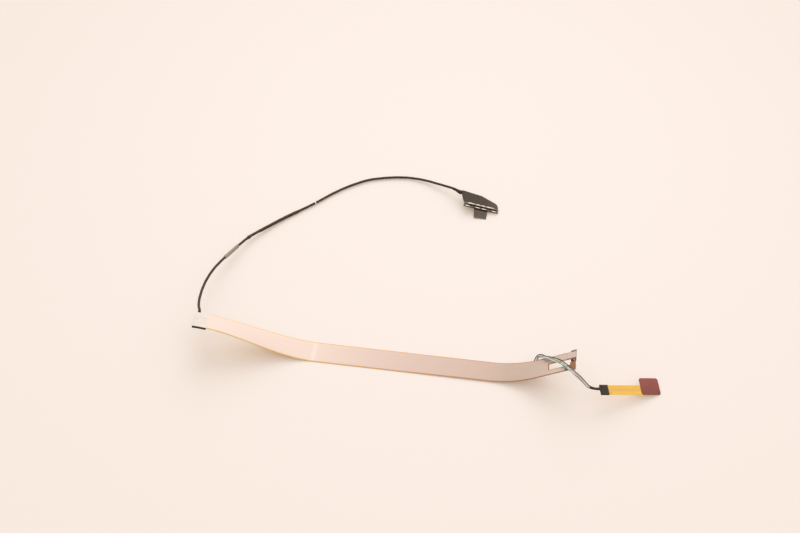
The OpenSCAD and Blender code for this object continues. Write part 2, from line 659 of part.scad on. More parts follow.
// Outline of the plug's tapes: straight along the housing, narrowing away from the harness
tape_outline = [
    [-plug_l - 0.3, plug_d], [tape_left, plug_d + 5.2], [tape_left, plug_d + fan_d + 1.1],
    [plug_mid - 0.5, plug_d + fan_d - 0.1], [-6, plug_d + fan_d - 2.1], [-1.8, plug_d + fan_d - 3.8],
    [-0.7, plug_d + 2], [-0.3, plug_d]];
fan_outline = [
    [-plug_l + clamp_margin, plug_d + clamp_d], [tape_left, plug_d + 5.2],
    [tape_left, plug_d + fan_d + 1.1], [plug_mid - 1, plug_d + fan_d - 0.6],
    [-2.2, plug_d + fan_d - 4], [-clamp_margin, plug_d + clamp_d]];

module plug_wire_fan() color([0.30, 0.30, 0.32]) at_plug()
    translate([0, 0, plug_h - fan_t]) linear_extrude(fan_t) polygon(fan_outline);

module plug_tape_top() color([0.27, 0.24, 0.21]) at_plug()
    translate([0, 0, plug_h]) linear_extrude(tape_t) polygon(tape_outline);

module plug_tape_under() color([0.25, 0.22, 0.20]) at_plug()
    translate([0, 0, plug_h - fan_t - tape_t]) linear_extrude(tape_t) difference() {
        polygon(tape_outline);
        translate([-plug_l, plug_d - 1]) square([plug_l, clamp_d + 1]);
    }

// Pull tab: level with the housing at its root, easing down and twisting towards
// the surface, with its right corner resting on it
tab_right = plug_mid + tab_w / 2;
// Share by which the tab's tip turns towards the surface
tab_twist = 0.55;
tab_root_z = 0.05;
tab_fine = 6;
tab_shares = [0, 0.25, 0.5, 0.75, 1];
tab_ys = sorted(concat([for (k = [0:tab_fine]) -tab_reach * k / tab_fine], [-hem_d]));
function on_tab(share, y, h) = let(
    out = -y / tab_reach,
    x = tab_right - share * (tab_w - tab_taper * out))
    [x, y, mix(tab_root_z, tan(plug_tilt) * mix(tab_right, x, tab_twist), ease(out)) + h];
module tab_sheet(ys, h0, h1) sheet(
    [for (k = [len(tab_shares) - 1:-1:0], y = ys) on_tab(tab_shares[k], y, h0)],
    [for (k = [len(tab_shares) - 1:-1:0], y = ys) on_tab(tab_shares[k], y, h1)],
    len(tab_shares), len(ys));

module pull_tab() color([0.38, 0.34, 0.31]) at_plug() tab_sheet(tab_ys, 0, tab_t);
module pull_tab_hem() color([0.50, 0.46, 0.42]) at_plug()
    tab_sheet(within(tab_ys, -hem_d, 0), tab_t, 2 * tab_t);

// ---- sensor wires ----
lip_x = wire_x + 2 * wire_spread;
anchor_ys = concat(within(ribbon_ys, slot_y1 + film_border, edge_y), [edge_y + anchor_lip]);
module wire_anchor() color([0.20, 0.18, 0.16])
    layer(sorted(concat(within(ribbon_xs, anchor_ends[0], anchor_ends[1]), [lip_x])),
          anchor_ys, -anchor_h, 0, cuts = [[0, lip_x, edge_y, edge_y + anchor_lip]]);
module wire_black() color([0.12, 0.12, 0.12]) wire(0);
module wire_green() color([0.42, 0.62, 0.50]) wire(1);
module wire_white() color([0.90, 0.89, 0.86]) wire(2);
module wire_grey() color([0.62, 0.61, 0.59]) wire(3);

// Tapered sleeve that gathers the wires into the splice
sleeve_steps = 4;
sleeve_mouth = 1.3 * wire_d;
sleeve_half_w = 1.1;
sleeve_half_h = (splice_t + sensor_t) / 2;
module splice_sleeve() color([0.22, 0.19, 0.17]) tube([for (i = [0:sleeve_steps]) let(
    t = i / sleeve_steps,
    a = mix(sleeve_mouth, sleeve_half_w, ease(t)),
    b = mix(sleeve_mouth, sleeve_half_h, ease(t)))
    ring(wire_frame(mix(wires_end, wire_len, t)), a, b, sides)]);

// ---- sensor tail ----
// Length of the sensor flex held in the tape block, and how far the block laps its sides
splice_grip = 1.6;
splice_margin = 0.1;

// Tape block folded round the end of the sensor flex
module splice_tape() color([0.22, 0.19, 0.17]) at_pad() difference() {
    translate([splice_x, -splice_margin, -(sensor_t + splice_t) / 2])
        cube([splice_l, sensor_w + 2 * splice_margin, splice_t]);
    translate([sensor_x - splice_grip, 0, -sensor_t])
        cube([splice_grip + 1, sensor_w, sensor_t]);
}

module sensor_flex() color([0.93, 0.68, 0.24]) at_pad()
    translate([sensor_x - splice_grip, 0, -sensor_t])
        cube([splice_grip + sensor_l + pad_l - pad_r, sensor_w, sensor_t]);

module rounded_plate(size, r) linear_extrude(size.z) {
    translate([r, 0]) square([size.x - 2 * r, size.y]);
    translate([0, r]) square([size.x, size.y - 2 * r]);
    for (x = [r, size.x - r], y = [r, size.y - r]) translate([x, y]) circle(r, $fn = 48);
}

module sensor_pad() color([0.55, 0.30, 0.25]) at_pad()
    translate([-pad_l, 0, 0]) rounded_plate([pad_l, pad_w, pad_t], pad_r);

socket_wall = 0.35;
module at_socket() at_pad() translate([-pad_l / 2, sensor_w / 2, -sensor_t]) children();

module sensor_socket() color([0.20, 0.18, 0.17]) at_socket() difference() {
    translate([-socket_l / 2, -socket_w / 2, -socket_h]) cube([socket_l, socket_w, socket_h]);
    translate([-socket_l / 2 + 2 * socket_wall, -socket_w / 2 + socket_wall, -socket_h - 1])
        cube([socket_l - 4 * socket_wall, socket_w - 2 * socket_wall, 1 + socket_h - socket_wall]);
}

module sensor_contacts() color([0.83, 0.66, 0.30]) at_socket()
    for (side = [-1, 1], k = [0:socket_pins - 1])
        translate([(k - (socket_pins - 1) / 2) * socket_pitch - contact_w / 2,
                   side * (socket_w / 2 - socket_wall - contact_w / 2) - contact_w / 2,
                   contact_inset - socket_h])
            cube([contact_w, contact_w, socket_h - socket_wall - contact_inset]);

ribbon_flex();
ribbon_film();
end_tape_patch();
joint_solder();
joint_cover();
panel_plate();
panel_housing();
panel_contacts();
panel_nails();
zif_stiffener();
zif_fingers();
harness_root();
harness_jacket();
harness_sleeve();
harness_wrap();
harness_marker();
harness_end_wrap();
plug_housing();
plug_rail();
plug_front_clips();
plug_contacts();
plug_clamp_bar();
plug_wire_fan();
plug_tape_top();
plug_tape_under();
pull_tab();
pull_tab_hem();
wire_anchor();
wire_black();
wire_green();
wire_white();
wire_grey();
splice_sleeve();
splice_tape();
sensor_flex();
sensor_pad();
sensor_socket();
sensor_contacts();
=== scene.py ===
"""Dresses the display cable: ribbon, taped harness with its plug, and the wire branch."""

from __future__ import annotations

import json
import logging
import math
from contextlib import contextmanager
from dataclasses import dataclass
from enum import Enum
from typing import Callable, Iterator, Sequence

import bmesh
import bpy
from mathutils import Matrix, Vector, noise
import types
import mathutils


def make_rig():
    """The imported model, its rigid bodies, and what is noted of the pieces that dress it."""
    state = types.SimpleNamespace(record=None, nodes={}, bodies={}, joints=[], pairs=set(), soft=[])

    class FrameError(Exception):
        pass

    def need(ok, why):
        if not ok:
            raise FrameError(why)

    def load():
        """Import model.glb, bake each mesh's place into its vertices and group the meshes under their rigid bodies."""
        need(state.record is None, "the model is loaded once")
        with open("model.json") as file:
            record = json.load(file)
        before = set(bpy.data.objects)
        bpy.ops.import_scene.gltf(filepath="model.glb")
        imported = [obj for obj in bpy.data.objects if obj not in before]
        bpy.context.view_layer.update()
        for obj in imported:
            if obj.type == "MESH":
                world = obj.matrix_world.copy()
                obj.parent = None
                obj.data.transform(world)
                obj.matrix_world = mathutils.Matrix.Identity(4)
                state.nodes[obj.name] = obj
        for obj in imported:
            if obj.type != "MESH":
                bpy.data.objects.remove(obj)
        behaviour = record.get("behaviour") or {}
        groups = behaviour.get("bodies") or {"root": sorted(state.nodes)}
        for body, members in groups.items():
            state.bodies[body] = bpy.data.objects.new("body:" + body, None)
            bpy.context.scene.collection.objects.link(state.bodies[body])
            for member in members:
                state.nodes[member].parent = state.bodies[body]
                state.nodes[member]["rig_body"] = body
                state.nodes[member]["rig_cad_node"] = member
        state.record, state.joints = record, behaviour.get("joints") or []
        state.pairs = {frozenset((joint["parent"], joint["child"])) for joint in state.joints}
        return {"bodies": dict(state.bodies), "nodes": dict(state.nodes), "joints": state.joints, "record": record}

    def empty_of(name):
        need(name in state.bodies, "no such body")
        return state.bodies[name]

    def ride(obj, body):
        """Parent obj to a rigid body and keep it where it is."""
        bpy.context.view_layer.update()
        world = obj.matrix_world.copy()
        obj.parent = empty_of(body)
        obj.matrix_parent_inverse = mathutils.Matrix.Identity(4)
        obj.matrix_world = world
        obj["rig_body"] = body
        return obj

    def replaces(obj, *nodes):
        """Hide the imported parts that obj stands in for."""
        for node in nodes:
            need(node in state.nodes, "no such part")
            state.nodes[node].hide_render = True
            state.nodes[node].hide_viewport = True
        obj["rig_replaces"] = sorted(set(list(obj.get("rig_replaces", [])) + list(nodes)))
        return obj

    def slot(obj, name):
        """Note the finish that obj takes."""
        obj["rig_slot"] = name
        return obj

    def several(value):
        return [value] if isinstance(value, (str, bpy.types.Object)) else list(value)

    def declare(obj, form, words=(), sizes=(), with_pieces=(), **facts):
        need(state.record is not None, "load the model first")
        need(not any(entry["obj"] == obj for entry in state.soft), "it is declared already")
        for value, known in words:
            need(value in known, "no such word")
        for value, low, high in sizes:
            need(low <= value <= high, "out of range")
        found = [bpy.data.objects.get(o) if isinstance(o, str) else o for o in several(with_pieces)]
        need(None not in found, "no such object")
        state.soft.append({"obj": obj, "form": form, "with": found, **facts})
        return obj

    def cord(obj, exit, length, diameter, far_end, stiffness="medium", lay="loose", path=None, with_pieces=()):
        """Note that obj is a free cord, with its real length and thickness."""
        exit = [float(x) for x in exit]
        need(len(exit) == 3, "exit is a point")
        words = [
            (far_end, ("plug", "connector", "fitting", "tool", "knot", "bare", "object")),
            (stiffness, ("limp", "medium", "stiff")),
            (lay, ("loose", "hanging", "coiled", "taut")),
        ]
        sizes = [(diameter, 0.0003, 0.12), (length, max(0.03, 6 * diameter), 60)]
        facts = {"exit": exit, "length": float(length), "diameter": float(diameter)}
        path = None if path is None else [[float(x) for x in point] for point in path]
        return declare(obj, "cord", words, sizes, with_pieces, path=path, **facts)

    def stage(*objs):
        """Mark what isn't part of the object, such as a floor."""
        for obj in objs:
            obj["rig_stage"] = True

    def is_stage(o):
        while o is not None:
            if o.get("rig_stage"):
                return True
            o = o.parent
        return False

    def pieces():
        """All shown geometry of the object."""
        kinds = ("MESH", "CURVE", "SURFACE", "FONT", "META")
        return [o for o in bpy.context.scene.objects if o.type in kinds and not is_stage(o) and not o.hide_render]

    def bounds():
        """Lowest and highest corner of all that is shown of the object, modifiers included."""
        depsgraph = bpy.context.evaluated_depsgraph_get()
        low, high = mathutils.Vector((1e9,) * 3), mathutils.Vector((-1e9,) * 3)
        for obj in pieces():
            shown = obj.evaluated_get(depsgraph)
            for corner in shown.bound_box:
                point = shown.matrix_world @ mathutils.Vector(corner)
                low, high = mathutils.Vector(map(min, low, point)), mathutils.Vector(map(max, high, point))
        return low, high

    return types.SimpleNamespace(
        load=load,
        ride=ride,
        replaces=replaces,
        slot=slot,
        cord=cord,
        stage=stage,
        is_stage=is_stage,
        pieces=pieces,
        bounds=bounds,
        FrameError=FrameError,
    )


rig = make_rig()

log = logging.getLogger("display_cable")
MM = 0.001
BODY = "root"
Piece = bpy.types.Object
Tree = bpy.types.NodeTree
Node = bpy.types.Node
Socket = bpy.types.NodeSocket
Place = Callable[[Vector], Vector]
Test = Callable[[Vector, Vector], bool]
Ring = tuple[Vector, Vector, Vector]


def mm(*values: float) -> Vector:
    """Returns a point given in millimetres as a vector in metres."""
    return Vector(values) * MM


def ease(t: float) -> float:
    """Returns a smooth step from 0 to 1 as t goes from 0 to 1."""
    t = min(max(t, 0.0), 1.0)
    return t * t * (3 - 2 * t)


def blend(a: float, b: float, t: float) -> float:
    """Returns the value a share t of the way from a to b."""
    return a + (b - a) * t


# ---- modelling by hand ----


def clear_selection() -> None:
    """Leaves object mode on, with nothing selected."""
    if bpy.context.mode != "OBJECT":
        bpy.ops.object.mode_set(mode="OBJECT")
    bpy.ops.object.select_all(action="DESELECT")


def take(obj: Piece) -> None:
    """Makes one object the only selected and the active one.

    Args:
        obj: The object to work on.
    """
    clear_selection()
    obj.select_set(True)
    bpy.context.view_layer.objects.active = obj


def slab(name: str, low: Vector, high: Vector) -> Piece:
    """Starts a piece as a block between two corners.

    Args:
        name: The piece's name.
        low: Its lowest corner, in metres.
        high: Its highest corner, in metres.

    Returns:
        The new block, with its place in its mesh.
    """
    clear_selection()
    bpy.ops.mesh.primitive_cube_add(size=1, location=(low + high) / 2)
    obj = bpy.context.object
    obj.name = obj.data.name = name
    obj.scale = high - low
    bpy.ops.object.transform_apply(location=True, rotation=False, scale=True)
    return obj


def flat_strip(name: str, x: tuple[float, float], y: tuple[float, float], step: float) -> Piece:
    """Starts a thin piece as a flat grid on z = 0, all in millimetres.

    Args:
        name: The piece's name.
        x: Its two ends along X.
        y: Its two edges along Y.
        step: The grid's spacing.

    Returns:
        The new grid, facing +Z.
    """
    clear_selection()
    count = [max(1, round((b - a) / step)) for a, b in (x, y)]
    bpy.ops.mesh.primitive_grid_add(x_subdivisions=count[0], y_subdivisions=count[1], size=1,
                                    location=mm(sum(x) / 2, sum(y) / 2, 0))
    obj = bpy.context.object
    obj.name = obj.data.name = name
    obj.scale = (*mm(x[1] - x[0], y[1] - y[0]), 1)
    bpy.ops.object.transform_apply(location=True, rotation=False, scale=True)
    return obj


@contextmanager
def editing(obj: Piece, everything: bool = False) -> Iterator[bmesh.types.BMesh]:
    """Opens an object in edit mode.

    Args:
        obj: The object to edit.
        everything: Whether all of it starts selected, and not none.

    Yields:
        Its mesh in edit mode.
    """
    take(obj)
    bpy.ops.object.mode_set(mode="EDIT")
    bpy.ops.mesh.select_mode(type="FACE")
    bpy.ops.mesh.select_all(action="SELECT" if everything else "DESELECT")
    yield bmesh.from_edit_mesh(obj.data)
    bpy.ops.object.mode_set(mode="OBJECT")


def cut(obj: Piece, axis: int, *places: float) -> None:
    """Cuts an object's faces across an axis.

    Args:
        obj: The object to cut.
        axis: 0 for X, 1 for Y and 2 for Z.
        places: Where each cut goes along that axis, in millimetres.
    """
    for place in places:
        point, normal = [0.0] * 3, [0.0] * 3
        point[axis], normal[axis] = place * MM, 1.0
        with editing(obj, everything=True):
            bpy.ops.mesh.bisect(plane_co=point, plane_no=normal)


def trim(obj: Piece, outline: Sequence[Vector]) -> None:
    """Trims a flat grid to a convex outline.

    Args:
        obj: The grid.
        outline: The outline's corners in metres, counter-clockwise seen from above.
    """
    for a, b in zip(outline, [*outline[1:], outline[0]]):
        with editing(obj, everything=True):
            out = Vector((b.y - a.y, a.x - b.x, 0)).normalized()
            bpy.ops.mesh.bisect(plane_co=a, plane_no=out, clear_outer=True)


def pick(mesh: bmesh.types.BMesh, test: Test) -> None:
    """Selects the faces whose middle, in millimetres, and normal pass a test."""
    for face in mesh.faces:
        face.select_set(test(face.calc_center_median() / MM, face.normal))


def push(obj: Piece, test: Test, move: Vector) -> None:
    """Extrudes some faces of an object.

    Args:
        obj: The object.
        test: Says which faces.
        move: How far they go, in metres.
    """
    with editing(obj) as mesh:
        pick(mesh, test)
        bpy.ops.mesh.extrude_region_move(TRANSFORM_OT_translate={"value": tuple(move)})


def modify(obj: Piece, kind: str, **settings: object) -> None:
    """Adds a modifier and applies it.

    Args:
        obj: The object.
        kind: The modifier's type.
        settings: The modifier's settings.
    """
    take(obj)
    modifier = obj.modifiers.new(kind.title(), kind)
    for name, value in settings.items():
        setattr(modifier, name, value)
    bpy.ops.object.modifier_apply(modifier=modifier.name)


def soften(obj: Piece, width: float, segments: int = 2) -> None:
    """Rounds an object's sharp edges to a width in millimetres, with some faces across it."""
    modify(obj, "BEVEL", width=width * MM, segments=segments, limit_method="ANGLE",
           angle_limit=math.radians(40), use_clamp_overlap=True)


def thicken(obj: Piece, thickness: float) -> None:
    """Gives a thin piece its thickness in millimetres, half to each side."""
    modify(obj, "SOLIDIFY", thickness=thickness * MM, offset=0, use_even_offset=True)


def lay_flat_map(obj: Piece) -> None:
    """Gives a flat piece a UV map in millimetres, before it is bent.

    Args:
        obj: The flat piece.
    """
    layer = obj.data.uv_layers.active or obj.data.uv_layers.new(name="flat")
    for loop in obj.data.loops:
        x, y, z = obj.data.vertices[loop.vertex_index].co / MM
        layer.data[loop.index].uv = (x, y + z)


def settle(obj: Piece, place: Place | Matrix) -> None:
    """Moves each point of an object to its place.

    Args:
        obj: The object.
        place: A matrix, or a function from a point to its place.
    """
    for vertex in obj.data.vertices:
        vertex.co = place @ vertex.co if isinstance(place, Matrix) else place(vertex.co)
    obj.data.update()


def repeated(obj: Piece, moves: Sequence[Vector]) -> Piece:
    """Joins an object and copies of it into one piece.

    Args:
        obj: The object.
        moves: How far each copy, with its own mesh, is moved from it.

    Returns:
        The one piece, named as the object was.
    """
    name, made = obj.name, [obj]
    for move in moves:
        twin = obj.copy()
        twin.data = obj.data.copy()
        bpy.context.collection.objects.link(twin)
        settle(twin, Matrix.Translation(move))
        made.append(twin)
    take(obj)
    for piece in made:
        piece.select_set(True)
    bpy.ops.object.join()
    obj.name = obj.data.name = name
    return obj


def complete(obj: Piece, finish: "Finish", slot: str, *nodes: str, place: Matrix | None = None,
             angle: float = 35) -> Piece:
    """Sets a piece in its place, shades it and gives it its finish.

    Args:
        obj: The finished piece.
        finish: What it is made of.
        slot: The record's material slot that it follows.
        nodes: The CAD nodes that it stands for.
        place: The frame that it was made in, where that isn't the model's.
        angle: Edges sharper than this stay sharp, in degrees.

    Returns:
        The same piece.
    """
    if place:
        settle(obj, place)
    take(obj)
    bpy.ops.object.shade_smooth_by_angle(angle=math.radians(angle))
    obj.data.materials.clear()
    obj.data.materials.append(finish.material())
    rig.ride(obj, BODY)
    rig.slot(obj, slot)
    if nodes:
        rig.replaces(obj, *nodes)
    log.info("made %s in %s", obj.name, finish.name)
    return obj


# ---- finishes ----


def linear(code: str, level: float = 1.0) -> tuple[float, float, float, float]:
    """Turns an sRGB hex colour to linear.

    Args:
        code: The colour, such as #a0b1c2.
        level: What its light is multiplied by.

    Returns:
        Red, green, blue and alpha.
    """
    parts = [int(code[i:i + 2], 16) / 255 for i in (1, 3, 5)]
    parts = [c / 12.92 if c <= 0.04045 else ((c + 0.055) / 1.055) ** 2.4 for c in parts]
    return (*[min(1.0, c * level) for c in parts], 1.0)


def add_node(tree: Tree, kind: str, settings: dict | None = None, inputs: dict | None = None,
             stops: Sequence[tuple] = ()) -> Node:
    """Adds a node, sets it and fills or links its inputs.

    Args:
        tree: The tree that it goes into.
        kind: The node's type, without its ShaderNode prefix.
        settings: The node's own properties.
        inputs: Values, output sockets or nodes for its inputs, by name or number.
        stops: Places and linear colours, for a node with a colour ramp.

    Returns:
        The new node.
    """
    node = tree.nodes.new("ShaderNode" + kind)
    for name, value in (settings or {}).items():
        setattr(node, name, value)
    for name, value in (inputs or {}).items():
        if isinstance(value, Node):
            value = value.outputs[0]
        if isinstance(value, Socket):
            tree.links.new(value, node.inputs[name])
        else:
            node.inputs[name].default_value = value
    for index, (place, colour) in enumerate(stops):
        row = node.color_ramp.elements
        element = row[index] if index < 2 else row.new(place)
        element.position, element.color = place, colour
    return node


# A wave texture's scale at which its bands are one unit apart
BAND_SCALE = 0.314


def tone_along(tree: Tree, flat: Socket, axis: int, tones: Sequence[tuple[float, str]]) -> Socket:
    """Makes a colour that changes along a piece's flat map.

    Args:
        tree: The material's tree.
        flat: The flat map, in millimetres.
        axis: 0 for along the piece and 1 for across it.
        tones: Places in rising order, and the colour at each.

    Returns:
        The colour.
    """
    low, high = tones[0][0], tones[-1][0]
    parts = add_node(tree, "SeparateXYZ", None, {0: flat})
    share = add_node(tree, "MapRange", None, {
        "Value": parts.outputs[axis], "From Min": low, "From Max": high})
    return add_node(tree, "ValToRGB", None, {0: share}, [
        ((x - low) / (high - low), linear(code)) for x, code in tones]).outputs[0]


def shaded(tree: Tree, colour: object, pattern: Node, *levels: tuple[float, float]) -> Socket:
    """Darkens a colour where a pattern asks, by two pairs of the pattern's value and a factor."""
    veil = add_node(tree, "ValToRGB", None, {0: pattern}, [
        (place, linear("#ffffff", level)) for place, level in levels])
    return add_node(tree, "Mix", {"data_type": "RGBA", "blend_type": "MULTIPLY"},
                    {0: 1.0, 6: colour, 7: veil}).outputs[2]


def tracks(tree: Tree, flat: Socket, pitch: float) -> Node:
    """Makes a wave across a flat map, with a crest on each copper track.

    Args:
        tree: The material's tree.
        flat: The flat map, in millimetres.
        pitch: How far apart the tracks are.

    Returns:
        The wave, from -1 to 1.
    """
    parts = add_node(tree, "SeparateXYZ", None, {0: flat})
    turn = add_node(tree, "Math", {"operation": "MULTIPLY"}, {0: parts.outputs[1], 1: 2 * math.pi / pitch})
    return add_node(tree, "Math", {"operation": "SINE"}, {0: turn})


def mottled(tree: Tree, tones: Sequence[tuple], patch: float, grain: float,
            depth: float) -> dict[str, object]:
    """Makes slow patches of tone, and a fine grain as relief.

    Args:
        tree: The material's tree.
        tones: The stops of the patches' colours.
        patch: The patches' size, in millimetres.
        grain: The grain's size.
        depth: The grain's depth.

    Returns:
        The shader's colour and normal.
    """
    where = add_node(tree, "TexCoord").outputs["Object"]
    slow = add_node(tree, "TexNoise", None, {"Vector": where, "Scale": 1 / (patch * MM)})
    tone = add_node(tree, "ValToRGB", None, {0: slow}, tones)
    skin = add_node(tree, "TexNoise", None, {"Vector": where, "Scale": 1 / (grain * MM)})
    relief = add_node(tree, "Bump", None, {"Height": skin, "Distance": depth * MM})
    return {"Base Color": tone, "Normal": relief}


@dataclass(frozen=True)
class Finish:
    """What a piece is made of, and how its surface was made. Sizes are in millimetres."""

    name: str
    colour: str
    roughness: float = 0.5
    metallic: float = 0.0

    def material(self) -> bpy.types.Material:
        """Makes this finish's material once.

        Returns:
            The material.
        """
        found = bpy.data.materials.get(self.name)
        if found:
            return found
        made = bpy.data.materials.new(self.name)
        made.use_nodes = True
        made.diffuse_color = linear(self.colour)
        tree = made.node_tree
        tree.nodes.clear()
        shader = add_node(tree, "BsdfPrincipled", None, {
            "Metallic": self.metallic, "Roughness": self.roughness, **self.dress(tree)})
        add_node(tree, "OutputMaterial", None, {"Surface": shader})
        return made

    def dress(self, tree: Tree) -> dict[str, object]:
        """Makes this finish's pattern, and returns what the shader's sockets take."""
        raise NotImplementedError


@dataclass(frozen=True)
class Moulded(Finish):
    """Nylon or LCP moulded in a spark-eroded tool, or plain film: an even, faintly grainy skin."""

    grain: float = 0.12
    grains: int = 14
    depth: float = 0.008
    mottle: float = 0.1

    def dress(self, tree: Tree) -> dict[str, object]:
        """Makes patches of tone some grains across, and the tool's grain as relief."""
        tones = [(0.3, linear(self.colour, 1 - self.mottle)), (0.7, linear(self.colour, 1 + self.mottle))]
        return mottled(tree, tones, self.grains * self.grain, self.grain, self.depth)


@dataclass(frozen=True)
class Insulation(Finish):
    """Extruded fluoropolymer on a wire: waxy and half glossy, with a pale bloom in places."""

    roughness: float = 0.35
    bloom: str = "#ffffff"
    patch: float = 2.5
    ripple: float = 0.4
    depth: float = 0.004

    def dress(self, tree: Tree) -> dict[str, object]:
        """Makes faint patches of bloom along the wire, on a slightly rippled skin."""
        tones = [(0.45, linear(self.colour)), (1.0, linear(self.bloom))]
        return mottled(tree, tones, self.patch, self.ripple, self.depth)


@dataclass(frozen=True)
class Stamped(Finish):
    """Strip stamped on a press and plated: bright, with fine drawing lines and dull spots."""

    metallic: float = 1.0
    roughness: float = 0.28
    tarnish: str = "#8a8480"
    line: float = 0.05
    stretch: float = 0.08
    spot: float = 1.1
    depth: float = 0.002

    def dress(self, tree: Tree) -> dict[str, object]:
        """Makes drawing lines along the strip and a faint tarnish.

        Args:
            tree: The material's tree.

        Returns:
            The shader's colour, roughness and normal.
        """
        where = add_node(tree, "TexCoord").outputs["Object"]
        drawn = add_node(tree, "Mapping", None, {"Vector": where, "Scale": (self.stretch, 1.0, 1.0)})
        lines = add_node(tree, "TexNoise", None, {"Vector": drawn, "Scale": 1 / (self.line * MM)})
        spots = add_node(tree, "TexNoise", None, {"Vector": where, "Scale": 1 / (self.spot * MM)})
        tone = add_node(tree, "ValToRGB", None, {0: spots}, [
            (0.5, linear(self.colour)), (0.9, linear(self.tarnish))])
        rough = add_node(tree, "MapRange", None, {
            "Value": lines, "To Min": self.roughness - 0.08, "To Max": self.roughness + 0.12})
        relief = add_node(tree, "Bump", None, {"Height": lines, "Distance": self.depth * MM})
        return {"Base Color": tone, "Roughness": rough, "Normal": relief}


@dataclass(frozen=True)
class WovenTape(Finish):
    """Acetate or polyester cloth tape: a plain weave of fine threads, matt, darker where handled."""

    roughness: float = 0.8
    thread: float = 0.3
    depth: float = 0.03
    dirt: float = 0.6
    smudge: float = 3.0
    tones: tuple[tuple[float, str], ...] = ()

    def dress(self, tree: Tree) -> dict[str, object]:
        """Makes the weave. A thread is 0.1 mm wide, and drawn two or three times that to show.

        Args:
            tree: The material's tree.

        Returns:
            The shader's colour, normal and gloss.
        """
        spots = add_node(tree, "TexCoord")
        flat = spots.outputs["UV"]
        waves = [add_node(tree, "TexWave", {"bands_direction": axis}, {
            "Vector": flat, "Scale": BAND_SCALE / self.thread, "Distortion": 0.6,
            "Detail": 1.0}).outputs["Fac"] for axis in ("X", "Y")]
        cloth = add_node(tree, "Math", {"operation": "MULTIPLY"}, {0: waves[0], 1: waves[1]})
        base = tone_along(tree, flat, 0, self.tones) if self.tones else linear(self.colour)
        slow = add_node(tree, "TexNoise", None, {
            "Vector": spots.outputs["Object"], "Scale": 1 / (self.smudge * MM)})
        worn = shaded(tree, base, slow, (0.35, 1.0), (0.75, self.dirt))
        woven = shaded(tree, worn, cloth, (0.0, 0.82), (1.0, 1.0))
        relief = add_node(tree, "Bump", None, {"Height": cloth, "Distance": self.depth * MM})
        return {"Base Color": woven, "Normal": relief, "Specular IOR Level": 0.3}


@dataclass(frozen=True)
class MetallisedFilm(Finish):
    """Shielding film: a thin metal layer under varnish, pink-silver, with faint tracks below it."""

    roughness: float = 0.45
    metallic: float = 0.12
    tones: tuple[tuple[float, str], ...] = ()
    streak: float = 0.625
    stretch: float = 0.04
    pitch: float = 0.5
    ridge: float = 0.004
    dent: float = 5.0
    dent_depth: float = 0.04

    def dress(self, tree: Tree) -> dict[str, object]:
        """Makes the painted reflection and shade along the film, roller streaks, soft dents and the tracks' ridges.

        Args:
            tree: The material's tree.

        Returns:
            The shader's colour, roughness and normal.
        """
        spots = add_node(tree, "TexCoord")
        flat = spots.outputs["UV"]
        drawn = add_node(tree, "Mapping", None, {"Vector": flat, "Scale": (self.stretch, 1.0, 1.0)})
        streak = add_node(tree, "TexNoise", None, {
            "Vector": drawn, "Scale": 1 / self.streak, "Detail": 3.0})
        # The tones along the film are painted reflection and shade; the roller streaks only darken it faintly at
        # random.
        film_painted_light = shaded(tree, tone_along(tree, flat, 0, self.tones), streak, (0.3, 0.96), (0.7, 1.0))
        rough = add_node(tree, "MapRange", None, {
            "Value": streak, "To Min": self.roughness - 0.06, "To Max": self.roughness + 0.08})
        soft = add_node(tree, "TexNoise", None, {
            "Vector": spots.outputs["Object"], "Scale": 1 / (self.dent * MM)})
        dents = add_node(tree, "Bump", None, {"Height": soft, "Distance": self.dent_depth * MM})
        relief = add_node(tree, "Bump", None, {
            "Height": tracks(tree, flat, self.pitch), "Distance": self.ridge * MM, "Normal": dents})
        return {"Base Color": film_painted_light, "Roughness": rough, "Normal": relief}


@dataclass(frozen=True)
class TracedFlex(Finish):
    """Polyimide flex with copper tracks under it: amber, darker and redder over the copper."""

    roughness: float = 0.3
    track: str = "#b06a30"
    pitch: float = 0.5
    share: float = 0.5
    tones: tuple[tuple[float, str], ...] = ()
    axis: int = 1
    ridge: float = 0.012
    cloud: float = 3.0

    def dress(self, tree: Tree) -> dict[str, object]:
        """Makes the tracks, their relief and broad bands of tone.

        Args:
            tree: The material's tree.

        Returns:
            The shader's colour, normal and coat.
        """
        spots = add_node(tree, "TexCoord")
        flat = spots.outputs["UV"]
        copper = add_node(tree, "MapRange", {"interpolation_type": "SMOOTHSTEP"}, {
            "Value": tracks(tree, flat, self.pitch), "From Min": -0.3, "From Max": 0.3, "To Max": self.share})
        base = add_node(tree, "Mix", {"data_type": "RGBA"}, {
            0: copper, 6: tone_along(tree, flat, self.axis, self.tones), 7: linear(self.track)})
        slow = add_node(tree, "TexNoise", None, {
            "Vector": spots.outputs["Object"], "Scale": 1 / (self.cloud * MM)})
        tone = shaded(tree, base.outputs[2], slow, (0.35, 0.94), (0.8, 1.0))
        relief = add_node(tree, "Bump", None, {"Height": copper, "Distance": self.ridge * MM})
        return {"Base Color": tone, "Normal": relief, "Coat Weight": 0.15}


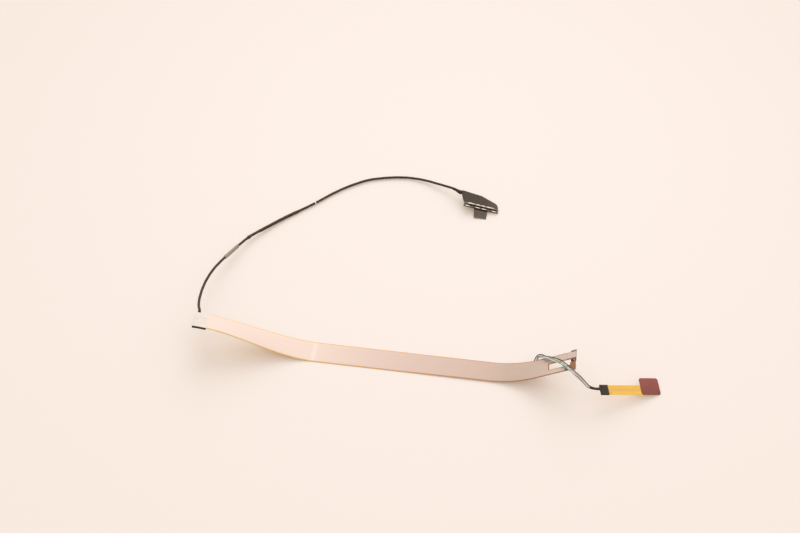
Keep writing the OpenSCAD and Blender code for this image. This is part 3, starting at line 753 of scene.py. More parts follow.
@dataclass(frozen=True)
class PaperFloor(Finish):
    """Smooth pale paper that the cable lies on, darker away from a point behind the cable as a painted fall-off of
    light, with a painted glow for the camera that lifts and warms the shadows.
    """

    roughness: float = 0.9
    rim: str = "#cdc4c4"
    glow: str = "#958169"
    middle: tuple[float, float] = (40.0, 180.0)
    reach: float = 620.0

    def dress(self, tree: Tree) -> dict[str, object]:
        """Makes the painted fall-off of light on the paper, and the warm painted glow that only a camera sees, which
        lifts and warms the shadows.

        Args:
            tree: The material's tree.

        Returns:
            The shader's colour and glow, without gloss.
        """
        where = add_node(tree, "TexCoord").outputs["Object"]
        centred = add_node(tree, "Mapping", {"vector_type": "TEXTURE"}, {
            "Vector": where, "Location": mm(*self.middle, 0), "Scale": mm(*[self.reach] * 3)})
        fading = add_node(tree, "TexGradient", {"gradient_type": "SPHERICAL"}, {"Vector": centred})
        # Painted fall-off of light: the paper darkens away from its middle behind the cable.
        tone = add_node(tree, "ValToRGB", None, {0: fading}, [
            (0.0, linear(self.rim)), (1.0, linear(self.colour))])
        seen = add_node(tree, "LightPath").outputs["Is Camera Ray"]
        # A painted glow that only the camera sees: it lifts and warms the shadows on the paper.
        return {"Base Color": tone, "Specular IOR Level": 0.0, "Emission Color": linear(self.glow),
                "Emission Strength": seen}


# Shield film: pale pink. Its tones along the ribbon are painted reflection and shade: paler where it lifts off the
# surface, greyer towards the tails, with a painted highlight along the crease
SHIELD_PAINTED_REFLECTION = MetallisedFilm("metallised_shield_film", "#f0d8c8", tones=(
    (-84, "#e6d0c2"), (-22, "#e6cebf"), (-20.5, "#f2dbcd"), (-19, "#e6cebf"), (10, "#dabfb0"),
    (70, "#c4a897"), (82, "#bca490"), (105, "#d8bfaf"), (116, "#d6beb0")))
# Bare flex: amber. Its tones along the ribbon are painted light and shade: bright honey at the lifted end, browner
# towards the tails
POLYIMIDE_PAINTED_LIGHT = TracedFlex("polyimide_flex", "#d8a850", track="#b87a28", share=0.12, axis=0, tones=(
    (-84, "#ecc05c"), (-30, "#f6b824"), (0, "#f0ac28"), (85, "#b47022"), (116, "#b47022")))
# Conductive fabric: off-white, with a dry fine weave
CONDUCTIVE = WovenTape("conductive_fabric_tape", "#faecdf", roughness=0.6, thread=0.25,
                       depth=0.012, dirt=0.92)
# Acetate cloth: warm brown-black, soft and matt, as wound on the harness
HARNESS_TAPE = WovenTape("acetate_harness_tape", "#5c4b3f")
# The same cloth, less handled and darker
DARK_TAPE = WovenTape("black_acetate_tape", "#483c34")
# Thin cover tape: smooth brown, with painted light: lighter and pinker towards its right end, where it slopes to face
# the light
PLUG_TAPE_PAINTED_LIGHT = WovenTape("plug_cover_tape", "#55483e", thread=0.22, depth=0.012, dirt=0.8, tones=(
    (-22.7, "#54473d"), (-9, "#564b40"), (-3, "#68584f"), (-0.3, "#604e48")))
# Conductive cloth sleeve: greyed beige, loosely wrapped
SLEEVE_CLOTH = WovenTape("beige_conductive_cloth", "#bcac94", thread=0.28, dirt=0.75)
# Marker band: white heat-shrink, smooth
MARKER = Moulded("white_marker_band", "#f4eee4", roughness=0.45)
# Connector plastics: hard and even, faintly shiny on their rounded edges
BROWN_LCP = Moulded("warm_brown_lcp_moulding", "#5c4d44", roughness=0.45)
# Black: the sensor socket's moulding, and a liner that paints the shade in the plug's mating channel
BLACK_LCP_AND_CHANNEL_SHADE = Moulded("black_lcp_insert", "#1c1612", roughness=0.5)
MAROON_LCP = Moulded("maroon_lcp_moulding", "#552628", roughness=0.38)
# Tin and gold plating and bare solder: bright or dull metal, with drawing lines
TIN = Stamped("tin_plated_strip", "#9e9284")
GOLD = Stamped("gold_plated_contact", "#dcb265", roughness=0.22, tarnish="#a87c3c")
# Dull dark bronze: the flex's plated eye, and on the plug's contacts a painted shade, as they lie in the shade of the
# channel
PIN_BRONZE_AND_PAINTED_SHADE = Stamped("dull_bronze_pins", "#5c4428", roughness=0.5, tarnish="#3a2a18")
SOLDER = Stamped("dull_solder", "#b4aea6", roughness=0.45, line=0.3)
# Stiffener plate: pale and even, like polished resin
PLATE = Moulded("pale_stiffener_plate", "#d6c0b4", roughness=0.4, mottle=0.03)
# Pull tab: tough grey-brown film, matt. Its fold at the root is black, a dark sheet that paints the shade in the gap
# under the plug
PULL_FILM = Moulded("grey_pull_film", "#5a4e44", roughness=0.5, grain=0.2, mottle=0.06)
HEM_PAINTED_SHADE = Moulded("black_hem_adhesive", "#1c1612", roughness=0.6, grain=0.2)
# Fine coaxial wires side by side: a dull grey mass
COAX_FAN = Moulded("micro_coax_wires", "#55534f")
# Stiffener film: brown polyimide, redder towards its end
BRONZE = TracedFlex(
    "bronze_polyimide_stiffener", "#9c5e1c", track="#a86a28", pitch=1.2, share=0.25, axis=0,
    tones=((111.0, "#7e6024"), (113.0, "#8d5318"), (116.0, "#98642c")))
# Sensor flex: bright amber, pinker along its middle where the tracks run
SENSOR_AMBER = TracedFlex(
    "amber_sensor_flex", "#fcc450", track="#f0ac48", pitch=0.65, share=0.12,
    tones=((0.0, "#fcc43c"), (1.6, "#fec83c"), (2.2, "#f8ba60"), (3.1, "#f6b85e"), (3.7, "#fec638"),
           (5.2, "#fcc234")))
# Coverlay film over the stiffened pad: red-brown and matt
PAD_RED = Moulded("red_brown_coverlay", "#8a4034", roughness=0.5, grain=0.25, mottle=0.07)
# Wire insulation: waxy, each in its own colour
WIRES = {
    "black": Insulation("black_insulation", "#37302c", bloom="#6a625a"),
    "green": Insulation("green_insulation", "#8cc49c"),
    "white": Insulation("white_insulation", "#f0e8dc"),
    "grey": Insulation("grey_insulation", "#c4bab0"),
}
# Paper: smooth, pale and without gloss, its colour below the paper's own; the painted glow brings it up for the camera
# and lightens the shadows
PAPER = PaperFloor("pale_paper", "#dbd7d7")


# ---- the routes of the cords ----


@dataclass
class Route:
    """A smooth line through a cord's points, measured along its length."""

    points: tuple[Vector, ...]
    level: Vector
    steps: int = 40

    def __post_init__(self) -> None:
        """Measures the line, in rows of a length along it, in metres, and the parameter there."""
        length, last = 0.0, self.at(0)
        self.rows = [(0.0, 0.0)]
        for k in range(1, (len(self.points) - 1) * self.steps + 1):
            here = self.at(k / self.steps)
            length += (here - last).length
            last = here
            self.rows.append((length, k / self.steps))
        self.length = length / MM

    def at(self, u: float) -> Vector:
        """Finds a point of the line.

        Args:
            u: A parameter that counts the route's points from 0.

        Returns:
            The point, in metres.
        """
        p, n = self.points, len(self.points)
        i = min(int(u), n - 2)
        t = u - i
        a, b, c, d = p[max(i - 1, 0)], p[i], p[i + 1], p[min(i + 2, n - 1)]
        return 0.5 * (2 * b + (c - a) * t + (2 * a - 5 * b + 4 * c - d) * t * t
                      + (3 * b - a - 3 * c + d) * t ** 3)

    def ring(self, s: float) -> Ring:
        """Finds the section's frame at a length along the line.

        Args:
            s: The length, in millimetres.

        Returns:
            The centre, side and up vectors.
        """
        s = min(max(s * MM, 0.0), self.rows[-1][0])
        k = next(i for i in range(1, len(self.rows)) if self.rows[i][0] >= s - 1e-9)
        (s0, u0), (s1, u1) = self.rows[k - 1], self.rows[k]
        u, last = blend(u0, u1, (s - s0) / (s1 - s0)), len(self.points) - 1
        ahead = (self.at(min(u + 0.05, last)) - self.at(max(u - 0.05, 0))).normalized()
        side = ahead.cross(self.level).normalized()
        return self.at(u), side, side.cross(ahead)

    def rings(self, stations: Sequence[float]) -> list[Ring]:
        """Returns the sections' frames at lengths along the line, in millimetres."""
        return [self.ring(s) for s in stations]


def tube(name: str, rings: Sequence[Ring], shape: Callable[[float, float], tuple[float, float]],
         stations: Sequence[float], around: int, wind: float = 0.0) -> Piece:
    """Makes a closed tube along rings, with a UV map in millimetres.

    Args:
        name: The piece's name.
        rings: Centre, side and up vectors at each station.
        shape: Half-width and half-height in millimetres, at a length and a share of the way round.
        stations: The length along the tube of each ring, in millimetres.
        around: The number of points in each ring.
        wind: The length in which a wound tape's edge goes once round, or 0 where there is none.

    Returns:
        The new tube.
    """
    count = around + 1 if wind else around
    form, rows = bmesh.new(), []
    for (centre, side, up), s in zip(rings, stations):
        start = 2 * math.pi * s / wind if wind else 0.0
        row = []
        for k in range(count):
            (a, b), angle = shape(s, k / around), start + 2 * math.pi * k / around
            out = side * (a * math.cos(angle)) + up * (b * math.sin(angle))
            row.append(form.verts.new(centre + out * MM))
        rows.append(row)
    layer = form.loops.layers.uv.new("flat")
    for i in range(len(rows) - 1):
        girth = 2 * math.pi * shape(stations[i], 0.0)[0]
        for k in range(count):
            e = (k + 1) % count
            face = form.faces.new((rows[i][k], rows[i][e], rows[i + 1][e], rows[i + 1][k]))
            for loop, (r, c) in zip(face.loops, ((i, k), (i, k + 1), (i + 1, k + 1), (i + 1, k))):
                loop[layer].uv = (stations[r], girth * c / around)
    form.faces.new(list(reversed(rows[0])))
    form.faces.new(rows[-1])
    bmesh.ops.recalc_face_normals(form, faces=form.faces)
    mesh = bpy.data.meshes.new(name)
    form.to_mesh(mesh)
    form.free()
    obj = bpy.data.objects.new(name, mesh)
    bpy.context.collection.objects.link(obj)
    return obj


def spaced(start: float, end: float, step: float) -> list[float]:
    """Returns lengths from start to end, both among them, about a step apart."""
    count = max(1, round((end - start) / step))
    return [blend(start, end, i / count) for i in range(count + 1)]


# ---- the ribbon ----


@dataclass(frozen=True)
class RibbonForm:
    """How the ribbon lies: ruled between a near and a far edge of their own heights. In millimetres."""

    width: float = 12.5
    near_lift: float = 19.5
    far_lift: float = 15.8
    lift_start: float = 19.0
    near_run: float = 65.0
    far_lag: float = 4.0
    end_pull: float = 1.35
    settle_lift: float = 0.5
    bend_start: float = 72.0
    bend_lag: float = 2.0
    bend_r: float = 45.0
    bend_angle: float = math.radians(33)

    def bend_rise(self, d: float) -> float:
        """Gives the height gained in the bend.

        Args:
            d: The distance past the start of the bend.

        Returns:
            The height.
        """
        run = self.bend_r * math.sin(self.bend_angle)
        if d <= 0:
            return 0.0
        if d < run:
            return self.bend_r - math.sqrt(self.bend_r ** 2 - d * d)
        return self.bend_r * (1 - math.cos(self.bend_angle)) + (d - run) * math.tan(self.bend_angle)

    def near_z(self, x: float) -> float:
        """Returns the near edge's height at a place along the ribbon."""
        return (self.near_lift * ease((-x - self.lift_start) / self.near_run)
                + self.settle_lift * ease((x - self.lift_start) / (self.bend_start - self.lift_start))
                + self.bend_rise(x - self.bend_start))

    def far_z(self, x: float) -> float:
        """Returns the far edge's height at a place along the ribbon."""
        return (self.far_lift * ease((-x - self.lift_start) / (self.near_run + self.far_lag))
                + self.bend_rise(x - self.bend_start - self.bend_lag))

    def edges(self, x: float) -> tuple[Vector, Vector]:
        """Finds the two edges of the ribbon's underside.

        Args:
            x: The place along the ribbon.

        Returns:
            The points of the near and the far edge.
        """
        pull = self.end_pull * ease((-x - self.lift_start) / self.near_run)
        near, far = self.near_z(x + pull), self.far_z(x)
        half = math.sqrt(self.width ** 2 - pull ** 2 - (far - near) ** 2) / 2
        return Vector((x + pull, -half, near)), Vector((x, half, far))

    def frame(self, x: float) -> tuple[Vector, Vector, Vector]:
        """Finds the ribbon's own directions.

        Args:
            x: The place along the ribbon.

        Returns:
            The near edge's point, and the directions across and off the ribbon.
        """
        near, far = self.edges(x)
        across = (far - near).normalized()
        ahead, behind = self.edges(x + 0.5), self.edges(x - 0.5)
        along = (ahead[0] + ahead[1] - behind[0] - behind[1]).normalized()
        return near, across, along.cross(across).normalized()

    def point(self, x: float, y: float, h: float) -> Vector:
        """Returns a place in metres, from how far along, from the middle and off the underside it is."""
        near, across, off = self.frame(x)
        return (near + across * (y + self.width / 2) + off * h) * MM

    def way_out(self, x: float, x0: float, x1: float) -> Vector:
        """Returns the direction at x straight out of the far edge's face from x0 to x1."""
        return self.frame(x)[2].cross(self.edges(x1)[1] - self.edges(x0)[1]).normalized()

    def tail_frame(self, x: float, y: float) -> Matrix:
        """Gives the frame of a piece on the underside of the straight upper tail.

        Args:
            x: How far along the ribbon.
            y: How far from its middle.

        Returns:
            The frame, with +Z off the ribbon.
        """
        _, across, off = self.frame(x)
        along = across.cross(off)
        turn = Matrix((along, off.cross(along), off)).transposed().to_4x4()
        return Matrix.Translation(self.point(x, y, 0)) @ turn


@dataclass
class Ribbon:
    """The flex ribbon with its film, its end joint and its two tails. In millimetres."""

    form: RibbonForm
    start: float = -84.0
    end: float = 116.0
    base_t: float = 0.2
    film_t: float = 0.1
    border: float = 0.45
    patch_end: float = -77.0
    slot_x: float = 103.3
    slot: tuple[float, float] = (-2.75, 1.25)
    stiffener_x: float = 111.0
    head_x: float = 113.4
    head_y: tuple[float, float] = (-7.1, -1.05)
    stiffener_t: float = 0.15
    crease_x: float = -20.5
    crease_w: float = 0.5
    crease_h: float = 0.04
    dent_h: float = 0.05
    patch_dent: float = 0.02

    def bent(self, obj: Piece, low: float, high: float,
             lift: Callable[[float, float], float] = lambda x, y: 0.0) -> None:
        """Lays a flat piece on the ribbon.

        Args:
            obj: The flat piece, as a grid.
            low: Its lower face's height off the ribbon's underside.
            high: Its upper face's height.
            lift: How far it lifts further, at a place on the ribbon.
        """
        lay_flat_map(obj)
        middle = (low + high) / 2
        settle(obj, lambda v: self.form.point(
            v.x / MM, v.y / MM, middle + lift(v.x / MM, v.y / MM)))
        thicken(obj, high - low)

    def windowed(self, name: str, x: tuple[float, float], y: tuple[float, float], step: float,
                 windows: Sequence[tuple[float, float, float, float]]) -> Piece:
        """Makes a flat strip with windows cut out of it.

        Args:
            name: The piece's name.
            x: The strip's ends.
            y: The strip's edges.
            step: The grid's spacing.
            windows: Each window's ends along X, then along Y.

        Returns:
            The flat strip.
        """
        obj = flat_strip(name, x, y, step)
        for x0, x1, y0, y1 in windows:
            cut(obj, 0, *[v for v in (x0, x1) if x[0] < v < x[1]])
            cut(obj, 1, *[v for v in (y0, y1) if y[0] < v < y[1]])
            with editing(obj) as mesh:
                pick(mesh, lambda c, n: x0 < c.x < x1 and y0 < c.y < y1)
                bpy.ops.mesh.delete(type="FACE")
        return obj

    def build_base(self) -> None:
        """Makes the polyimide flex that shows as an amber line along every edge."""
        half = self.form.width / 2
        base = self.windowed("ribbon_base", (self.start, self.end), (-half, half), step=1.2,
                             windows=[(self.slot_x, self.end + 1, *self.slot)])
        self.bent(base, 0, self.base_t)
        complete(base, POLYIMIDE_PAINTED_LIGHT, "polyimide", "ribbon_flex")

    def film_rise(self, x: float, y: float) -> float:
        """Gives how far the film lifts off the flex, in soft dents and one crease.

        Args:
            x: How far along the ribbon.
            y: How far from its middle.

        Returns:
            The height.
        """
        edge = self.form.width / 2 - self.border - abs(y)
        # Held down along its edges, at the patch and before the slot
        hold = ease(edge / 1.5) * ease((x - self.patch_end) / 3) * ease((self.slot_x - 2 - x) / 4)
        dent = 0.5 + 0.5 * noise.noise(Vector((x / 9, y / 3, 0)))
        crease = math.exp(-((x - self.crease_x) / self.crease_w) ** 2)
        return hold * (self.dent_h * dent + self.crease_h * crease)

    def build_film(self) -> None:
        """Makes the shielding film, set back from the edges and the slot."""
        half = self.form.width / 2 - self.border
        film = self.windowed("ribbon_shield", (self.patch_end, self.end), (-half, half), step=0.9, windows=[
            (self.slot_x - self.border, self.end + 1,
             self.slot[0] - self.border, self.slot[1] + self.border),
            (self.stiffener_x, self.end + 1, -half - 1, self.slot[0])])
        self.bent(film, self.base_t, self.base_t + self.film_t, self.film_rise)
        complete(film, SHIELD_PAINTED_REFLECTION, "shield_film", "ribbon_film")

    def build_patch(self) -> None:
        """Makes the conductive tape over the harness end, faintly uneven."""
        half = self.form.width / 2
        patch = flat_strip("end_patch", (self.start, self.patch_end), (-half, half), step=0.35)
        self.bent(patch, self.base_t, self.base_t + self.film_t,
                  lambda x, y: ease(half - abs(y)) * self.patch_dent * (
                      1 + noise.noise(Vector((x / 2.2, y / 2.2, 3)))))
        complete(patch, CONDUCTIVE, "conductive_tape", "end_tape_patch")

    def build_tip(self) -> None:
        """Makes the bronze stiffener of the lower tail, wider at its head."""
        half, before = self.form.width / 2, self.stiffener_x - 1
        tip = self.windowed("tip_stiffener", (self.stiffener_x, self.end), self.head_y, step=0.6, windows=[
            (before, self.head_x, self.head_y[0] - 1, -half),
            (before, self.head_x, self.slot[0], self.head_y[1] + 1)])
        self.bent(tip, self.base_t, self.base_t + self.stiffener_t)
        soften(tip, width=0.03, segments=1)
        complete(tip, BRONZE, "bronze_film", "zif_stiffener")

    def build(self) -> None:
        """Makes every piece of the ribbon."""
        self.build_base()
        self.build_film()
        self.build_patch()
        self.build_tip()


@dataclass
class PanelConnector:
    """The low board connector under the upper tail. In millimetres."""

    form: RibbonForm
    length: float = 7.2
    depth: float = 2.7
    height: float = 0.9
    wall: float = 0.35
    step: float = 0.3
    middle: tuple[float, float] = (114.65, 3.75)

    def build(self) -> None:
        """Makes the moulding, hollow below, with stepped ends that stand out past the tail."""
        a, b, h, w = self.depth / 2, self.length / 2, self.height, self.wall
        body = slab("panel_moulding", mm(-a, -b, -h), mm(a, b, 0))
        cut(body, 0, w - a, a - w)
        cut(body, 1, *[s * (b - k * w) for s in (-1, 1) for k in (1, 3)])
        push(body, lambda c, n: n.z < -0.5 and abs(c.x) < a - w and abs(c.y) < b - 3 * w,
             mm(0, 0, h - w))
        push(body, lambda c, n: n.z < -0.5 and c.z < -h / 2 and abs(c.x) < a - w and abs(c.y) > b - w,
             mm(0, 0, self.step))
        soften(body, width=0.06)
        complete(body, MAROON_LCP, "maroon_plastic", "panel_housing",
                 place=self.form.tail_frame(*self.middle))


# ---- the harness ----


class Wrap(Enum):
    """How a layer lies on the harness: the pitch of its wound edge in millimetres, or 0 for none."""

    WOUND = 5.0
    SLEEVE = 0.0


@dataclass
class Harness:
    """The round bundle of fine wires in wound tape, from the ribbon to the plug. In millimetres."""

    form: RibbonForm
    plug: "MainPlug"
    radius: float = 0.75
    root_x: float = -83.05
    root_w: float = 1.9
    root_l: float = 2.4
    joint_h: float = 0.7
    # The facet of the CAD ribbon's far edge that the joint lies on
    joint_facet: tuple[float, float] = (-84.0, -84.0 + 65.0 / 18)
    tape_pitch: float = 7.0
    tape_step: float = 0.07
    sleeve: tuple[float, float] = (49.0, 61.5)
    sleeve_d: float = 2.1
    wrap: tuple[float, float] = (70.0, 107.0)
    wrap_d: float = 1.64
    wrap_bump: float = 0.5
    wrap_bump_l: float = 1.2
    wrap_full: float = 0.28
    wrap_thin_l: float = 7.0
    wrap_taper: float = 3.0
    layer_step: float = 0.08
    wrinkle: float = 0.05
    marker: tuple[float, float] = (117.5, 118.2)
    marker_d: float = 1.7
    end_wrap: float = 7.0
    end_wrap_d: float = 2.6
    end_wrap_flat: float = 1.5
    lip: float = 0.3
    cord_ring: float = 0.6
    layer_ring: float = 0.4
    foot_ring: float = 0.2

    def __post_init__(self) -> None:
        """Lays the route, from the joint under the ribbon to the plug."""
        x0, x1 = self.joint_facet
        low, high = (self.form.point(x, self.form.width / 2, -self.joint_h / 2) for x in (x0, x1))
        start = low.lerp(high, (self.root_x - x0) / (x1 - x0))
        lead = start + self.form.way_out(self.root_x, x0, x1) * self.root_l * MM
        self.route = Route((start, lead, *[mm(*p) for p in (
            (-84.9, 12.5, 13.7), (-85.9, 18.5, 13), (-86.3, 26, 11.8), (-86, 33.5, 10.4),
            (-84.8, 41.5, 8.8), (-82.4, 50, 7), (-79.2, 58, 5.4), (-75.6, 66.2, 4.1),
            (-71.2, 74.2, 2.9), (-64.5, 82.1, 1.9), (-56.2, 91.2, 1.2), (-47, 99.7, 1),
            (-39.6, 106.5, 1), (-31.5, 114.8, 1), (-23.3, 121.9, 1), (-12.8, 128.8, 1),
            (-4, 132, 1), (5, 134, 1), (13.5, 134.6, 1.1), (22.5, 133.3, 1.6), (32, 129.9, 2.8),
            (40, 126.4, 4.2))], *self.plug.entry()), Vector((0, 0, 1)))
        self.length = self.route.length

    def build_cord(self) -> Piece:
        """Makes the taped bundle, with the step of the tape's edge winding along it.

        Returns:
            The bundle.
        """
        stations = spaced(self.root_l, self.length, self.cord_ring)
        cord = tube("harness_cord", self.route.rings(stations),
                    lambda s, share: (self.radius - self.tape_step * (1 - share),) * 2, stations,
                    around=16, wind=self.tape_pitch)
        return complete(cord, HARNESS_TAPE, "jacket_tape", "harness_jacket", angle=50)

    def declare(self, cord: Piece, ends: Sequence[Piece | str]) -> None:
        path = [ring[0] for ring in self.route.rings(spaced(self.root_l, self.length, 1))]
        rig.cord(cord, exit=path[0], length=(self.length - self.root_l) * MM,
                diameter=2 * self.radius * MM, far_end="connector", stiffness="medium", lay="loose",
                path=path, with_pieces=ends)

    def layer(self, name: str, ends: tuple[float, float], size: Callable[[float], float],
              kind: Wrap, finish: Finish, slot: str, node: str) -> Piece:
        """Makes a layer of tape over part of the harness.

        Args:
            name: The piece's name.
            ends: Where it starts and ends along the harness.
            size: Its outer diameter at a length along it.
            kind: How it lies.
            finish: What it is made of.
            slot: The record's material slot.
            node: The CAD node that it stands for.

        Returns:
            The layer.
        """
        stations = spaced(*ends, min(self.layer_ring, (ends[1] - ends[0]) / 6))

        def shape(s: float, share: float) -> tuple[float, float]:
            """Gives the layer's radius, with its lips, wrinkles and the step of its edge.

            Args:
                s: The length along the harness.
                share: The share of the way round.

            Returns:
                The same radius twice.
            """
            inside = min(s - ends[0], ends[1] - s)
            r = blend(self.radius + 0.02, size(s - ends[0]) / 2, ease(0.3 + inside / self.lip))
            if kind is Wrap.WOUND:
                r -= self.layer_step * (1 - share)
            elif inside > 0:
                fold = noise.noise(Vector((s / 1.4, 5 * math.cos(2 * math.pi * share), 7)))
                r += self.wrinkle * (fold - 0.6)
            return (max(self.radius + 0.01, r),) * 2

        piece = tube(name, self.route.rings(stations), shape, stations, around=20, wind=kind.value)
        return complete(piece, finish, slot, node, angle=50)

    def build_root(self) -> Piece:
        """Makes the flattened foot where the bundle enters the joint.

        Returns:
            The foot.
        """
        stations = spaced(0, self.root_l, self.foot_ring)

        def shape(s: float, share: float) -> tuple[float, float]:
            """Gives the foot's half-width and half-height at a length, alike all round."""
            t = ease(s / self.root_l)
            return blend(self.root_w / 2, self.radius, t), blend(self.joint_h / 2, self.radius, t)

        foot = tube("harness_foot", self.route.rings(stations), shape, stations, around=20)
        return complete(foot, DARK_TAPE, "black_tape", "harness_root")

    def wrap_size(self, s: float) -> float:
        """Gives the second wrap's diameter: a raised start, a thin run, then a fuller one.

        Args:
            s: The length along the wrap.

        Returns:
            The diameter.
        """
        left = self.wrap[1] - self.wrap[0] - s
        full = ease((s - self.wrap_thin_l) / self.wrap_taper) * ease(left / self.wrap_taper)
        bump = 1 - ease((s - self.wrap_bump_l) / self.wrap_bump_l)
        return self.wrap_d + self.wrap_bump * bump + self.wrap_full * full

    def build(self) -> list[Piece]:
        """Makes the foot and the layers, and returns them."""
        swell, thin, flat = self.end_wrap_d, 2 * self.radius + 0.2, self.end_wrap_flat
        return [
            self.build_root(),
            self.layer("cloth_sleeve", self.sleeve, lambda s: self.sleeve_d, Wrap.SLEEVE,
                       SLEEVE_CLOTH, "sleeve_cloth", "harness_sleeve"),
            self.layer("tape_wrap", self.wrap, self.wrap_size, Wrap.WOUND,
                       HARNESS_TAPE, "jacket_tape", "harness_wrap"),
            self.layer("marker_band", self.marker, lambda s: self.marker_d, Wrap.SLEEVE,
                       MARKER, "marker_white", "harness_marker"),
            self.layer("plug_end_wrap", (self.length - self.end_wrap, self.length),
                       lambda s: blend(thin, swell, ease((s - flat) / (self.end_wrap - flat))),
                       Wrap.WOUND, DARK_TAPE, "black_tape", "harness_end_wrap"),
        ]


# ---- the plug ----


@dataclass
class MainPlug:
    """The wide micro-coax plug, tilted so that it rests on its front right corner. In millimetres."""

    length: float = 20.6
    depth: float = 3.2
    height: float = 1.0
    wall: float = 0.75
    channel_w: float = 0.95
    channel_h: float = 0.65
    key: float = 0.3
    recess: tuple[float, float] = (0.08, 0.62)
    recess_d: float = 0.45
    insert_t: float = 0.05
    shell_t: float = 0.15
    rail_l: float = 16.0
    rail_y: float = 1.85
    rail_d: float = 0.95
    rail_outer: float = 4.5
    rail_gap: float = 0.8
    clip_l: float = 2.6
    clip_lap: float = 0.55
    clip_drop: float = 0.3
    clip_offs: tuple[float, float] = (1.9, 8.1)
    tape_t: float = 0.12
    tape_left: float = -22.65
    fan_d: float = 7.2
    tab_w: float = 8.2
    tab_taper: float = 1.1
    tab_reach: float = 5.4
    tab_t: float = 0.15
    tab_gap: float = 0.05
    tab_rest: float = 0.55
    hem_d: float = 0.7
    fan_t: float = 0.45
    entry_in: float = 0.4
    entry_back: tuple[float, ...] = (1.6, 0.8, 0.0)
    fan_wires: int = 60
    fan_ridge: float = 0.015
    cover_dent: float = 0.04
    tilt: float = math.radians(10.8)
    corner: tuple[float, float, float] = (68, 113.2, 0)

    @property
    def frame(self) -> Matrix:
        """The plug's own frame, with its origin at the corner that it rests on."""
        return Matrix.Translation(mm(*self.corner)) @ Matrix.Rotation(self.tilt, 4, "Y")

    def entry(self) -> list[Vector]:
        """Returns the last points of the harness's route, square to the tape's left edge."""
        y, z = self.depth + self.fan_d - self.entry_in, self.height - self.fan_t
        return [self.frame @ mm(self.tape_left - back, y, z) for back in self.entry_back]

    def build_housing(self) -> Piece:
        """Makes the moulding with its mating channel, keyed ends and the recess over the tab.

        Returns:
            The moulding.
        """
        n, d, h, w, key = self.length, self.depth, self.height, self.wall, self.key
        (low, high), back, half = self.recess, w + self.channel_w, self.tab_w / 2
        body = slab("plug_moulding", mm(-n, 0, 0), mm(0, d, h))
        cut(body, 0, w - n, -w, key - n, -key, -n / 2 - half, half - n / 2)
        cut(body, 1, w, back)
        cut(body, 2, low, high)
        push(body, lambda c, f: f.z > 0.5 and w - n < c.x < -w and w < c.y < back,
             mm(0, 0, -self.channel_h))
        push(body, lambda c, f: f.z > 0.5 and c.z > 0.9 * h and w < c.y < back
             and not key - n < c.x < -key, mm(0, 0, -key))
        push(body, lambda c, f: f.y < -0.5 and low < c.z < high and abs(c.x + n / 2) < half
             and c.y < 0.1, mm(0, self.recess_d, 0))
        soften(body, width=0.07)
        return complete(body, BROWN_LCP, "plug_plastic", "plug_housing", place=self.frame)

    def build_shade_liner(self) -> Piece:
        """Makes a black liner in the mating channel, open above: a dark sheet that paints the channel's shade.

        Returns:
            The liner.
        """
        w, t = self.wall, self.insert_t
        left, back = w - self.length, w + self.channel_w
        low, high = self.height - self.channel_h, self.height - 0.04
        shade_liner = slab("plug_insert", mm(left, w, low), mm(-w, back, high))
        cut(shade_liner, 0, left + t, -w - t)
        cut(shade_liner, 1, w + t, back - t)
        push(shade_liner, lambda c, f: f.z > 0.5 and left + t < c.x < -w - t and w + t < c.y < back - t,
             mm(0, 0, low + t - high))
        return complete(shade_liner, BLACK_LCP_AND_CHANNEL_SHADE, "plug_plastic", place=self.frame)

    def build_rail(self) -> Piece:
        """Makes the metal rail: four bright pads that stand up from a strip behind them.

        Returns:
            The rail.
        """
        left, z, t = -(self.length + self.rail_l) / 2, self.height, self.shell_t
        behind, end = self.rail_y + self.rail_d / 2, left + self.rail_l
        inner = (self.rail_l - 2 * self.rail_outer - 3 * self.rail_gap) / 2
        pads, x = [], left
        for long in (self.rail_outer, inner, inner, self.rail_outer):
            pads.append((x, x + long))
            x += long + self.rail_gap
        rail = slab("plug_rail_strip", mm(left, behind, z), mm(end, self.rail_y + self.rail_d, z + t))
        cut(rail, 0, *[x for pair in pads for x in pair if left < x < end - 0.01])
        push(rail, lambda c, f: f.z > 0.5 and any(a < c.x < b for a, b in pads), mm(0, 0, t))
        push(rail, lambda c, f: f.y < -0.5 and any(a < c.x < b for a, b in pads),
             mm(0, -self.rail_d / 2, 0))
        soften(rail, width=0.05)
        return complete(rail, TIN, "silver_metal", "plug_rail", place=self.frame)

    def build_clips(self) -> Piece:
        """Makes one clip folded over the front wall, and its three copies.

        Returns:
            The clips.
        """
        t, z, half = self.shell_t, self.height, self.clip_l / 2
        spots = [s * off - self.length / 2 for off in self.clip_offs for s in (-1, 1)]
        clip = slab("plug_clips", mm(spots[0] - half, -t, z), mm(spots[0] + half, self.clip_lap, z + t))
        cut(clip, 1, 0.0)
        push(clip, lambda c, f: f.z < -0.5 and c.y < 0, mm(0, 0, -self.clip_drop))
        soften(clip, width=0.045)
        clips = repeated(clip, [mm(x - spots[0], 0, 0) for x in spots[1:]])
        return complete(clips, TIN, "silver_metal", "plug_front_clips", place=self.frame)

    def build_cover(self) -> Piece:
        """Makes the cover tape, with the fan of fine wires showing through it as faint ridges.

        Returns:
            The tape.
        """
        n, d, fan, left = self.length, self.depth, self.fan_d, self.tape_left
        outline = [mm(*p, 0) for p in (
            (-n - 0.3, d), (-0.3, d), (-0.7, d + 2), (-1.8, d + fan - 3.8),
            (-n / 2 - 0.5, d + fan - 0.1), (left, d + fan + 1.1), (left, d + 5.2))]
        cover = flat_strip("plug_cover_tape", (left - 0.1, -0.2), (d, d + fan + 1.2), 0.25)
        trim(cover, outline)
        lay_flat_map(cover)
        hub, sides = mm(left - 2, d + fan, 0), list(zip(outline, [*outline[1:], outline[0]]))

